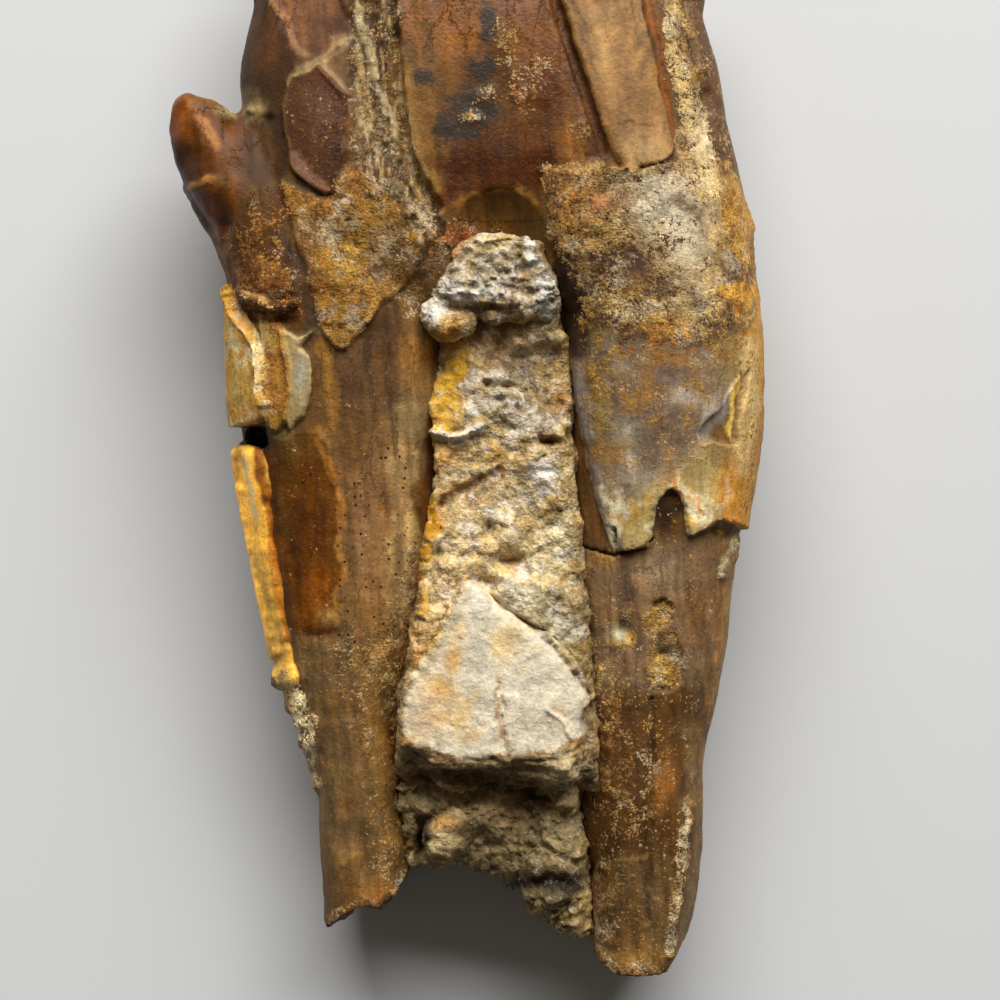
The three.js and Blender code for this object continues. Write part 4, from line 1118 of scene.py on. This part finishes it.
# Where the rock's parts lie on the front
areas.update({
    "calcite": [
        (446, 340), (468, 343), (464, 372), (460, 402), (452, 428), (432, 430), (432, 402), (440, 376),
    ],
    "cap": [
        (441, 255), (441, 283), (437, 298), (425, 300), (415, 299), (415, 318), (421, 325), (430, 322),
        (439, 318), (449, 305), (463, 303), (479, 303), (490, 300), (498, 309), (511, 313), (526, 311),
        (547, 315), (566, 318), (560, 298), (554, 283), (547, 272), (540, 258), (535, 245), (525, 236),
        (518, 240), (521, 252), (513, 251), (509, 240), (504, 235), (490, 232), (476, 237), (467, 248),
        (450, 252),
    ],
    "paleSlab": [
        (470, 580), (450, 620), (446, 634), (430, 657), (421, 672), (408, 681), (408, 712), (406, 720),
        (399, 733), (417, 741), (430, 750), (444, 761), (466, 758), (510, 762), (533, 759), (561, 756),
        (582, 743), (587, 733), (583, 722), (579, 711), (588, 694), (574, 670), (560, 656), (545, 640),
        (520, 618), (500, 600),
    ],
    "underside": [
        (396, 728), (417, 741), (444, 761), (510, 762), (561, 756), (590, 735), (596, 790), (540, 796),
        (480, 784), (430, 776), (404, 762),
    ],
    "recess": [(380, 786), (430, 776), (480, 782), (540, 794), (620, 790), (620, 1000), (380, 1000)],
    "besideSlab": [
        (500, 570), (585, 590), (598, 640), (600, 700), (578, 706), (562, 682), (535, 654), (511, 632),
        (486, 606),
    ],
    "leftOfSlab": [
        (438, 560), (474, 560), (470, 590), (450, 625), (430, 660), (406, 690), (396, 660), (420, 610),
    ],
    "crystals": [
        (466, 330), (575, 325), (590, 560), (596, 700), (560, 660), (500, 600), (470, 575), (436, 660),
        (446, 560), (452, 440),
    ],
    "sliver": [
        (436, 492), (440, 540), (434, 560), (428, 590), (427, 620), (415, 620), (416, 580), (422, 545),
        (428, 500),
    ],
    "capLeft": [(400, 225), (468, 225), (462, 335), (400, 345)],
    "upperRock": [(400, 300), (600, 300), (600, 600), (400, 600)],
})
lines.update({
    "paleCrack": [(502, 681), (502, 706), (505, 733), (509, 757)],
    "slabFold": [(548, 708), (564, 723), (572, 737)],
    "slabRim": [
        (399, 733), (417, 741), (430, 750), (444, 761), (466, 758), (510, 762), (533, 759), (561, 756),
        (584, 742),
    ],
    "paleRidge": [(434, 431), (450, 436), (466, 434), (482, 426)],
    "brownFold": [(444, 503), (458, 494), (478, 482), (500, 470)],
    "rightEdge": [(572, 430), (576, 500), (578, 560), (582, 640), (588, 690)],
})

# Its heights, its grain and its colours, as on the tooth
rockRelief = [
    ("cap", 1.6, 0.15), ("area", [(508, 296), (562, 296), (568, 346), (512, 350)], 9, 1.2),
    ("paleSlab", 4, 0.15), ("sliver", 2, 0.5), ("leftOfSlab", 7, 0.8), (482, 309, 27, 6, -0.7),
    (548, 443, 14, 5, -1.2), (489, 530, 6, 8, -1.0), (511, 561, 14, 5, -0.8), (490, 581, 15, 5, -0.6),
    (487, 385, 4, 4, -0.8), (508, 388, 6, 3, -0.8), (500, 401, 6, 3, -0.8), (570, 434, 5, 5, -1.0),
    (423, 840, 6, 22, -1.8), (582, 800, 6, 22, -1.2), (545, 880, 24, 8, -0.9), (478, 815, 48, 15, 1.1),
    (423, 838, 4, 12, -1.2), (466, 781, 56, 11, -1.1), (492, 326, 19, 12, 0.9), (446, 329, 10, 11, 0.9),
    (424, 309, 9, 9, 1.1), (510, 535, 12, 14, 0.6), (446, 835, 13, 14, 0.5), (564, 776, 20, 20, 1.4),
    (426, 801, 14, 8, 0.5), (567, 426, 4, 4, 0.7), (543, 478, 13, 12, 0.4), (520, 412, 22, 10, 0.5),
    (468, 412, 7, 8, 0.5), (498, 378, 8, 5, 0.5), (515, 835, 24, 20, 0.4), (560, 845, 16, 30, 0.4),
    (455, 365, 10, 26, 0.3), ("paleRidge", 4, 0.7), ("brownFold", 5, -0.4), ("paleCrack", 1.4, -0.25),
    ("slabFold", 2, 0.2), (470, 465, 22, 12, 0.3), (455, 530, 14, 18, 0.3), (465, 732, 9, 7, -0.15),
]
rockGrain = {
    "all": [(0.15, 3.2, 73, 2)], "crystals": [(0.15, 1.6, 81, 3)], "cap": [(0.16, 0.5, 84, 2)],
    "slab": [(0.09, 2.6, 85, 2), (0.06, 0.45, 86, 2)], "underside": [(0.42, (5.0, 0.8, 0.5), 87, 3)],
    "sand": [(0.3, 1.2, 91, 3)],
}
rockTints = [
    ("upperRock", 10, (170, 148, 106), 1), (500, 480, 40, 30, (204, 182, 142), 0.7),
    (505, 565, 50, 30, (236, 216, 172), 0.8), (455, 368, 12, 38, (234, 184, 40), 0.95),
    (440, 408, 10, 26, (232, 186, 62), 0.95), (490, 355, 20, 20, (224, 190, 134)),
    (512, 345, 18, 16, (212, 174, 118), 0.8), (540, 340, 16, 26, (182, 164, 130)),
    (560, 385, 8, 30, (180, 148, 90), 0.8), (525, 370, 18, 16, (176, 164, 144)),
    (498, 377, 10, 7, (236, 230, 220), 0.95), (530, 395, 20, 10, (150, 128, 94)),
    (565, 400, 6, 10, (196, 136, 70), 0.7), (514, 403, 22, 14, (74, 62, 42), 0.95),
    (468, 411, 7, 8, (218, 206, 184)), ("paleRidge", 5, (228, 216, 192), 0.95),
    (548, 443, 14, 5, (84, 62, 38), 0.8), (450, 450, 12, 14, (176, 128, 60), 0.8),
    (468, 445, 10, 5, (150, 108, 56), 0.8), (475, 465, 22, 14, (200, 172, 122)),
    (500, 450, 20, 10, (178, 150, 102), 0.8), (543, 478, 13, 13, (232, 226, 216), 0.95),
    (525, 468, 12, 12, (204, 188, 160), 0.8), (566, 470, 8, 24, (188, 168, 112), 0.8),
    ("brownFold", 7, (164, 118, 58)), (560, 500, 10, 6, (110, 86, 54), 0.8),
    (530, 505, 20, 10, (196, 184, 156), 0.8), (470, 515, 24, 14, (196, 176, 134)),
    (498, 512, 14, 6, (224, 208, 172)), (489, 530, 7, 8, (128, 90, 48)),
    (511, 536, 12, 14, (178, 164, 138), 0.95), (533, 527, 10, 8, (166, 144, 88), 0.8),
    (555, 530, 16, 22, (206, 198, 172)), (470, 552, 26, 18, (206, 182, 134)),
    (511, 561, 13, 5, (150, 100, 44)), (545, 565, 24, 16, (186, 172, 128)),
    (490, 580, 14, 4, (150, 122, 62)), (445, 575, 14, 20, (200, 182, 146), 0.8),
    (440, 600, 6, 6, (160, 128, 70), 0.7), ("sliver", 2, (200, 146, 10), 0.95),
    (421, 604, 4, 15, (184, 110, 36)),
    ("line", [(440, 535), (435, 560), (430, 590)], 2, (226, 206, 160), 0.8),
    (408, 640, 14, 12, (214, 176, 104)), (420, 655, 10, 12, (180, 126, 62), 0.7),
    ("area", [(500, 585), (590, 585), (592, 690), (560, 670), (530, 640)], 5, (150, 138, 108)),
    ("area", [(425, 560), (500, 575), (480, 640), (440, 660), (410, 660)], 8, (204, 178, 134), 0.8),
    (532, 632, 10, 16, (210, 190, 156)), (558, 640, 14, 18, (184, 174, 146)),
    (570, 645, 8, 6, (168, 140, 84), 0.7), (540, 655, 14, 8, (164, 150, 124), 0.8),
    ("rightEdge", 5, (150, 122, 76), 0.7), (517, 600, 20, 13, (250, 242, 226), 0.95),
    (470, 498, 20, 12, (150, 120, 74)), (540, 420, 18, 13, (122, 104, 78)), ("cap", 3, (150, 136, 112), 1),
    (470, 286, 30, 13, (176, 172, 166)), (492, 244, 22, 10, (208, 188, 140)),
    (548, 292, 9, 18, (190, 186, 178), 0.95), (528, 244, 5, 10, (206, 200, 188)),
    (512, 296, 14, 8, (146, 116, 76)), (525, 276, 8, 8, (156, 120, 66), 0.8),
    (455, 250, 12, 5, (176, 120, 68), 0.7), (426, 306, 14, 12, (252, 246, 234), 0.95),
    # painted shade: the last spot on the next line, under the cap's overhanging edge
    (460, 305, 12, 6, (176, 128, 66), 0.7), (482, 310, 26, 6, (120, 84, 46)),
    (492, 326, 19, 12, (128, 106, 74), 0.95), (446, 329, 12, 11, (186, 128, 50), 0.95),
    (566, 328, 8, 10, (190, 162, 96)), ("paleSlab", 3, (220, 207, 182), 1),
    (430, 715, 24, 30, (216, 190, 150), 0.8), (512, 638, 18, 18, (204, 182, 144), 0.8),
    (476, 620, 16, 20, (226, 216, 192), 0.7), (455, 660, 10, 14, (222, 164, 70)),
    (440, 690, 16, 12, (216, 166, 84)), (460, 636, 6, 16, (224, 184, 110), 0.6),
    (438, 717, 12, 8, (220, 166, 86), 0.7), (422, 722, 10, 10, (206, 180, 158), 0.7),
    (464, 732, 9, 7, (170, 138, 88), 0.8), (530, 675, 14, 10, (190, 180, 164), 0.7),
    (552, 725, 14, 14, (206, 190, 164), 0.7), ("paleCrack", 1.6, (170, 118, 62), 0.8),
    ("slabFold", 1.6, (196, 150, 110), 0.7), ("underside", 2, (128, 110, 80), 1),
    ("slabRim", 2.2, (134, 92, 56), 0.85), (566, 772, 24, 15, (196, 180, 150), 0.95),
    (578, 752, 8, 8, (190, 140, 66), 0.7), ("recess", 4, (140, 124, 92), 1),
    (560, 835, 24, 22, (168, 154, 122)), (564, 886, 18, 18, (82, 72, 52)),
    (480, 803, 44, 10, (214, 190, 150), 0.85), (525, 812, 26, 16, (134, 108, 76), 0.8),
    (426, 800, 16, 9, (134, 120, 96)), (446, 825, 13, 10, (226, 172, 98), 0.95),
    # painted shadow: the last spot on the next line, nearly black in the crevice left of the pebble
    (444, 840, 13, 9, (242, 222, 178), 0.95), (423, 840, 5, 22, (34, 22, 10), 0.95),
    (480, 875, 40, 8, (110, 90, 60), 0.8), ("line", [(500, 890), (540, 878), (572, 890)], 6, (70, 54, 34)),
    (545, 884, 30, 15, (38, 30, 18), 0.85), (588, 895, 10, 40, (190, 164, 112), 0.8),
    (568, 888, 12, 5, (44, 34, 20), 0.8),
]
rockStains = {
    "base": (140, 118, 84), "backBase": (146, 126, 92), "back": [(490, 600, 60, 120, (176, 152, 112), 0.8)],
    "tones": ((0.97, 0.88, 0.68), (0.88, 0.87, 0.83)),  # of the crystals and of the slab
    "amber": (0.04, -0.1, -0.4), "clear": (0.04, 0.0, -0.5),
    "white": (214, 204, 184), "brown": (140, 106, 62),
}
# Where it is frosted, and how coarse its grains are
rockFinishes = {
    "frost": [
        ("upperRock", 10, 0.3), ("paleSlab", 3, 0.1), ("cap", 3, 0.4), (465, 292, 30, 9, 0.75),
        (548, 292, 9, 20, 0.75), (428, 307, 12, 9, 0.9), (528, 250, 6, 14, 0.7), (500, 378, 14, 9, 0.5),
        (543, 478, 14, 14, 0.8), ("paleRidge", 5, 0.6), (470, 412, 8, 8, 0.7), (498, 512, 14, 7, 0.6),
        (476, 600, 14, 20, 0.5), (545, 560, 24, 30, 0.4),
    ],
    "coarse": [("paleSlab", 3, 0.22), ("cap", 3, 0.9), ("calcite", 4, 0.3), ("sliver", 2, 0.2)],
}


def rockBlank():
    # a rounded copy of the model's rock, a little larger so that it fills its gap
    work = bmesh.new()
    work.from_mesh(bpy.data.objects["matrix"].data)
    bmesh.ops.remove_doubles(work, verts=work.verts, dist=1e-6)
    bmesh.ops.scale(work, verts=work.verts, vec=(1 / mm, 1 / mm, 1 / mm))
    parts = [newPiece("block", work)] + [ball("lump", *lump) for lump in rockForm["lumps"]]
    piece = remeshed(joined("gapRock", parts), rockForm["firstVoxel"])
    smoothed(piece, 0.5, 5)
    swollen = read(piece) + rockForm["swell"] * read(piece, "vertex_normals", "vector")
    place(piece, swollen)
    return smoothed(remeshed(piece, rockForm["voxel"]), 0.5, 3)


def carvedRock(piece):
    p = read(piece)
    n = read(piece, "vertex_normals", "vector")
    front = ease(p[:, 2], *rockForm["front"])
    uv = wobbled(seen(p), *rockForm["edge"])
    slab = ease(inside(uv, areas["paleSlab"]), -4, 6) * front
    under = ease(inside(uv, areas["underside"]), -1, 3) * front * (1 - slab)
    recess = ease(inside(uv, areas["recess"]), -2, 4)
    cap = ease(inside(uv, areas["cap"]), -1, 3) * front
    crystals = front * (1 - slab) * (1 - under) * (1 - recess) * (1 - cap)
    grain, block = pebbles(p, *rockForm["blocks"])
    _, facet = pebbles(p, *rockForm["facets"])
    block, facet = block - 0.5, facet - 0.5
    height = rough(p, rockGrain["all"])
    faces = 0.22 * (0.6 - grain) + 0.28 * block + 0.18 * facet
    height += crystals * (faces + rough(p, rockGrain["crystals"]))
    spikes = 1 - np.abs(noise(p, 1.2, 83, 3))
    height += cap * (0.34 * spikes**2 - 0.22 + 0.3 * facet + rough(p, rockGrain["cap"]))
    height += slab * (0.05 * facet + rough(p, rockGrain["slab"]))
    height += under * (0.16 * facet + rough(p, rockGrain["underside"]))
    sand = np.maximum(recess, 1 - front) * (1 - under)
    height += sand * (0.3 * block + 0.36 * facet + rough(p, rockGrain["sand"]))
    moved = p + n * height[:, None]
    besideRoot = ease(uv[:, 0], 572, 596) * recess
    beside = share(uv, "area", areas["besideSlab"], 8) * (1 - ease(inside(uv, areas["paleSlab"]), -3, 2))
    lift = raised(uv, rockRelief) + rockForm["besideLift"] * beside
    lift = front * (lift + rockForm["sandLift"] * recess - rockForm["rootDip"] * besideRoot)
    moved += lift[:, None] * (0.3 * n + np.array([0, 0, 0.7]))
    # clear of the crown above and of the left root, and off the table
    moved[:, 1] -= 0.9 * ease(p[:, 1], 6.6, 8.6)
    moved[:, 0] -= 0.5 * front * share(uv, "area", areas["capLeft"], 9)
    moved[:, 2] = np.maximum(moved[:, 2], rockForm["lowest"])
    place(piece, moved)
    return piece


def rockColours(piece):
    p = read(piece)
    front = ease(p[:, 2], *rockForm["front"])[:, None]
    uv = wobbled(wobbled(seen(p), *rockForm["broadEdge"]), *rockForm["fineEdge"])
    shown = coloured(uv, rockStains["base"], rockTints)
    hidden = coloured(uv, rockStains["backBase"], rockStains["back"])
    pale = ease(inside(uv, areas["paleSlab"]), -3, 3)[:, None] * front
    stoneTone, slabTone = np.array(rockStains["tones"])
    tone = stoneTone * (1 - pale) + slabTone * pale
    _, block = pebbles(p, *rockForm["blocks"])
    _, facet = pebbles(p, *rockForm["facets"])
    stone = ((0.8 + 0.4 * block) * (0.84 + 0.32 * facet))[:, None]
    clear = np.maximum(share(uv, "area", areas["calcite"], 4), share(uv, "area", areas["sliver"], 2))
    clear = clear[:, None] * front
    tone = tone * (stone + (1 - stone) * np.maximum(0.75 * pale, 0.8 * clear))
    amber = ease(noise(p, 2.4, 95, 3), 0.35, 0.95)[:, None]
    tone = tone * (1 + amber * rockStains["amber"]) * (1 + clear * rockStains["clear"])
    colours = (hidden + (shown - hidden) * front) * tone
    crystal = share(uv, "area", areas["crystals"], 10) * front[:, 0] * (1 - clear[:, 0])
    white = crystal * ease(noise(p, 1.8, 98, 3), 0.12, 0.7)
    brown = crystal * ease(noise(p, 1.5, 99, 3), 0.35, 0.9)
    colours = blended(colours, rockStains["white"], 0.5 * white)
    colours = blended(colours, rockStains["brown"], 0.5 * brown)
    tint(piece, "tintRock", colours)
    attribute(piece, "frost", laid(uv, 0.2, rockFinishes["frost"]))
    attribute(piece, "coarse", 1 + (laid(uv, 1, rockFinishes["coarse"]) - 1) * front)


rock = carvedRock(rockBlank())
print("rock carved:", len(rock.data.vertices), "points")
thinned(rock, rockForm["triangles"])
rockColours(rock)
finished(rock, "matrix")
print("rock painted")


shading = {"tree": None}  # the material that is being made


def newMaterial(name):
    material = bpy.data.materials.new(name)
    material.use_nodes = True
    shading["tree"] = material.node_tree
    shading["tree"].nodes.clear()
    return material


def node(kind, inputs=None, **settings):
    # a shader node; an input is a value, or another node's output to link from
    tree = shading["tree"]
    made = tree.nodes.new("ShaderNode" + kind)
    for key, setting in settings.items():
        setattr(made, key, setting)
    for key, given in (inputs or {}).items():
        if isinstance(given, bpy.types.NodeSocket):
            tree.links.new(given, made.inputs[key])
        else:
            made.inputs[key].default_value = given
    return made


def maths(operation, a, b=0.0, c=0.0):
    return node("Math", {0: a, 1: b, 2: c}, operation=operation).outputs[0]


def plus(a, b):
    return maths("ADD", a, b)


def minus(a, b):
    return maths("SUBTRACT", a, b)


def times(first, *others):
    for other in others:
        first = maths("MULTIPLY", first, other)
    return first


def scaled(a, factor, shift):
    return maths("MULTIPLY_ADD", a, factor, shift)


def eased(a, low, high):
    # 0 below low, 1 above high
    inputs = {"Value": a, "From Min": low, "From Max": high}
    return node("MapRange", inputs, interpolation_type="SMOOTHSTEP").outputs[0]


def mixed(amount, a, b, way="MIX"):
    return node("Mix", {0: amount, 6: a, 7: b}, data_type="RGBA", blend_type=way).outputs[2]


def toned(a, b):
    return mixed(1.0, a, b, "MULTIPLY")


def value(name):
    return node("Attribute", attribute_name=name).outputs["Fac"]


def colour(name):
    return node("Attribute", attribute_name=name).outputs["Color"]


def stretched(scale):
    # object coordinates, with a pattern's number to the millimetre, or one number for each axis
    where = node("TexCoord").outputs["Object"]
    size = [float(s) / mm for s in np.broadcast_to(scale, 3)]
    return node("Mapping", {"Vector": where, "Scale": size}).outputs[0]


def noisy(scale, detail, roughness):
    inputs = {"Vector": stretched(scale), "Scale": 1.0, "Detail": detail, "Roughness": roughness}
    return node("TexNoise", inputs).outputs


def grain(scale, detail, roughness=0.62):
    return noisy(scale, detail, roughness)["Fac"]


def pushed(where, warp, amount):
    # places moved about by a noise's colours
    push = node("VectorMath", {0: warp, 3: amount}, operation="SCALE").outputs[0]
    return node("VectorMath", {0: where, 1: push}, operation="ADD").outputs[0]


def surfaced(base, roughness, height, specular):
    bump = node("Bump", {"Height": height, "Distance": mm, "Strength": 1.0})
    inputs = {"Base Color": base, "Roughness": roughness, "Normal": bump.outputs[0]}
    inputs["Specular IOR Level"] = specular
    shader = node("BsdfPrincipled", inputs)
    node("OutputMaterial", {0: shader.outputs[0]})


def crumbs(size, cover, warp):
    # loose grains about size millimetres wide: where they lie, their height, and two numbers of their own
    cells = node("TexVoronoi", {"Vector": pushed(stretched(1 / size), warp, 0.27 / size), "Scale": 1.0})
    own = node("SeparateColor", {0: cells.outputs["Color"]})
    lies = eased(minus(cover, own.outputs[0]), -0.03, 0.05)
    dome = times(lies, maths("MAXIMUM", scaled(cells.outputs["Distance"], -1.1, 1.0), 0.0))
    return lies, dome, own.outputs[1], own.outputs[2]


# Patterns are given in numbers to the millimetre, and colours as light, from 0 to 1
toothLook = {
    "broad": 0.2, "middle": 0.8, "fine": 3.3, "stains": (0.45, 0.3, 0.45), "veil": 0.42,
    "fibres": (2.2, 0.16, 2.2), "bands": (0.16, 0.8, 0.16), "cracks": (0.55, 0.2, 0.55), "specks": 1.5,
    "bigCrumb": 0.24, "smallCrumb": 0.12, "specular": 0.2,
    "ochreTone": (1.32, 1.06, 0.62, 1), "greyTone": (0.78, 0.84, 0.95, 1), "crack": (0.035, 0.02, 0.01, 1),
    "cloudAndShade": (0.02, 0.02, 0.016, 1), "speck": (0.012, 0.008, 0.005, 1), "ochreDust": (0.46, 0.39, 0.26, 1),
    "brownTone": (0.5, 0.32, 0.2, 1), "groundTone": (0.42, 0.34, 0.3, 1), "paleCrumb": (0.48, 0.4, 0.27, 1),
}


def toothMaterial(look):
    material = newMaterial("fossil enamel and root")
    broad = grain(look["broad"], 5)
    middle = grain(look["middle"], 5)
    fineNoise = noisy(look["fine"], 4, 0.65)
    fine, warp = fineNoise["Fac"], fineNoise["Color"]
    fibres = grain(look["fibres"], 5, 0.68)
    bands = grain(look["bands"], 5, 0.7)
    up = node("SeparateXYZ", {0: stretched(1.0)}).outputs[1]
    root = eased(up, 12.0, 6.0)
    bare = minus(1.0, value("coat"))
    # the raised layers' edges, roughened a little
    over = eased(plus(value("over"), scaled(middle, 1.6, -0.8)), -0.7, 0.7)
    base = mixed(over, colour("tintUnder"), colour("tintOver"))
    shade = times(scaled(broad, 0.9, 0.55), scaled(middle, 0.9, 0.55), scaled(fine, 1.1, 0.45))
    along = times(plus(scaled(fibres, 1.2, -0.6), scaled(bands, 0.5, -0.25)), root)
    base = toned(base, times(shade, plus(1.0, along)))
    # stained ochre and grey by turns, with fine cracks
    stains = grain(look["stains"], 6, 0.7)
    ochre = times(eased(stains, 0.5, 0.68), 0.75, bare)
    base = mixed(ochre, base, toned(base, look["ochreTone"]))
    grey = times(eased(stains, 0.48, 0.3), 0.7)
    base = mixed(grey, base, toned(base, look["greyTone"]))
    bent = pushed(stretched(look["cracks"]), warp, 0.5)
    seams = node("TexVoronoi", {"Vector": bent, "Scale": 1.0}, feature="DISTANCE_TO_EDGE")
    crack = times(eased(seams.outputs["Distance"], 0.018, 0.0), eased(broad, 0.46, 0.58), bare)
    base = mixed(times(crack, 0.4), base, look["crack"])
    # black mineral clouds, painted shade in the sheath's notch, and dots
    cloudAndShade = scaled(fine, 1.3, scaled(middle, 1.2, value("cloudAndShade")))
    base = mixed(times(eased(cloudAndShade, 1.45, 1.95), 0.85), base, look["cloudAndShade"])
    cells = node("TexVoronoi", {"Vector": stretched(look["specks"]), "Scale": 1.0})
    own = node("SeparateColor", {0: cells.outputs["Color"]}).outputs[0]
    some = times(maths("GREATER_THAN", own, 0.3), value("dots"))
    speck = times(eased(cells.outputs["Distance"], 0.21, 0.13), some)
    base = mixed(speck, base, look["speck"])
    # the crust lies in patches, pale, ochre and brown by turns
    crust = value("crust")
    patch = plus(scaled(middle, 3.2, -1.6), scaled(fine, 2.2, -1.1))
    cover = minus(scaled(patch, eased(crust, 0.03, 0.26), crust), 0.045)
    veil = grain(look["veil"], 5, 0.65)
    dust = mixed(times(eased(veil, 0.5, 0.62), 0.5), colour("tintCrust"), look["ochreDust"])
    brown = toned(colour("tintCrust"), look["brownTone"])
    dust = mixed(times(eased(veil, 0.5, 0.36), 0.8, bare), dust, brown)
    ground = mixed(bare, dust, toned(dust, look["groundTone"]))
    base = mixed(times(eased(cover, 0.3, 0.7), 0.8), base, ground)
    # and its grains lie on it, the small ones first
    big = crumbs(look["bigCrumb"], cover, warp)
    small = crumbs(look["smallCrumb"], times(cover, 1.15), warp)
    for lies, dome, light, hue in (small, big):
        crumb = toned(dust, scaled(minus(light, 0.5), scaled(bare, 0.6, 0.3), 1.05))
        crumb = mixed(times(eased(hue, 0.84, 0.97), 0.35), crumb, look["paleCrumb"])
        base = mixed(times(lies, eased(dome, 0.1, 0.45)), base, crumb)
    polish = times(value("gloss"), minus(1.0, maths("MAXIMUM", small[0], big[0])))
    roughness = scaled(polish, -0.36, scaled(fine, 0.3, 0.46))
    height = times(scaled(big[1], 0.08, times(small[1], 0.05)), scaled(bare, 0.6, 0.4))
    height = plus(height, plus(times(fibres, root, 0.05), times(fine, 0.07)))
    surfaced(base, roughness, scaled(crack, -0.05, height), look["specular"])
    return material


rockLook = {
    "broad": 0.3, "middle": 1.0, "fine": 3.6, "bigCrumb": 0.55, "smallCrumb": 0.24, "specular": 0.3,
    "deepTone": (0.5, 0.36, 0.2, 1), "frost": (0.64, 0.6, 0.53, 1),
}


def rockMaterial(look):
    material = newMaterial("pale crystal rock")
    broad = grain(look["broad"], 4, 0.6)
    middle = grain(look["middle"], 5)
    fineNoise = noisy(look["fine"], 4, 0.65)
    fine, warp = fineNoise["Fac"], fineNoise["Color"]
    coarse = value("coarse")
    _, dome, light, _ = crumbs(look["bigCrumb"], scaled(coarse, 0.9, 0.1), warp)
    _, smallDome, smallLight, smallHue = crumbs(look["smallCrumb"], scaled(coarse, 0.6, 0.4), warp)
    shade = times(scaled(broad, 0.5, 0.75), scaled(fine, 0.8, 0.6), scaled(middle, 0.8, 0.6))
    cell = times(scaled(light, 0.36, 0.84), scaled(smallLight, 0.4, 0.8), scaled(dome, 0.3, 0.85))
    shade = times(shade, scaled(coarse, minus(cell, 1.0), 1.0))
    base = toned(colour("tintRock"), shade)
    # browner in the dips, and frosted white
    dips = times(eased(plus(fine, middle), 0.86, 0.68), scaled(coarse, 0.4, 0.1))
    base = mixed(dips, base, toned(base, look["deepTone"]))
    white = eased(scaled(fine, 1.1, scaled(middle, 1.2, value("frost"))), 1.45, 1.85)
    base = mixed(times(white, 0.75), base, look["frost"])
    height = times(scaled(dome, 0.11, times(smallDome, 0.07)), coarse)
    height = plus(height, scaled(fine, 0.11, times(middle, 0.06)))
    surfaced(base, scaled(smallHue, -0.25, 0.85), height, look["specular"])
    return material


toothFinish = toothMaterial(toothLook)
for piece in toothPieces:
    piece.data.materials.clear()
    piece.data.materials.append(toothFinish)
rock.data.materials.clear()
rock.data.materials.append(rockMaterial(rockLook))
print("materials made")


studio = {
    # compass and height angles in degrees, the rest in metres and watts
    "keyCompass": 82.0, "keyHeight": 37.0, "keyDistance": 0.8, "keyWidth": 1.0, "keyTall": 0.45,
    "keyPower": 15.5, "aim": (0.0025, -0.005, 0.009),
    "worldColour": (1.0, 0.9, 0.78), "worldStrength": 0.1,
    "floorColour": (0.56, 0.562, 0.556), "floorRoughness": 0.8, "floorSize": 1.5,
    "lens": 100.0, "sensor": 36.0,  # in millimetres
}


def keyLight():
    # a wide area light facing the object
    lamp = bpy.data.lights.new("key", "AREA")
    lamp.shape = "RECTANGLE"
    lamp.size = studio["keyWidth"]
    lamp.size_y = studio["keyTall"]
    lamp.energy = studio["keyPower"]
    light = bpy.data.objects.new("key", lamp)
    across, up = np.radians(studio["keyCompass"]), np.radians(studio["keyHeight"])
    way = Vector((np.cos(up) * np.cos(across), np.cos(up) * np.sin(across), np.sin(up)))
    light.location = Vector(studio["aim"]) + way * studio["keyDistance"]
    light.rotation_euler = way.to_track_quat("Z", "Y").to_euler()
    bpy.context.scene.collection.objects.link(light)


def studioFloor():
    work = bmesh.new()
    bmesh.ops.create_grid(work, x_segments=1, y_segments=1, size=studio["floorSize"])
    floor = newPiece("studioFloor", work)
    material = newMaterial("pale table")
    inputs = {"Base Color": (*studio["floorColour"], 1), "Roughness": studio["floorRoughness"]}
    shader = node("BsdfPrincipled", inputs)
    node("OutputMaterial", {0: shader.outputs[0]})
    floor.data.materials.append(material)


studioFloor()
keyLight()
world = bpy.data.worlds.new("studio")
world.use_nodes = True
background = world.node_tree.nodes["Background"]
background.inputs["Color"].default_value = (*studio["worldColour"], 1)
background.inputs["Strength"].default_value = studio["worldStrength"]
bpy.context.scene.world = world
bpy.context.scene.view_settings.view_transform = "Standard"

lens = bpy.data.cameras.new("overhead")
lens.lens = studio["lens"]
lens.sensor_width = studio["sensor"]
camera = bpy.data.objects.new("overhead", lens)
camera.location = (view["x"] * mm, view["y"] * mm, (view["depth"] + view["distance"]) * mm)
bpy.context.scene.collection.objects.link(camera)
bpy.context.scene.camera = camera
print("stage set")
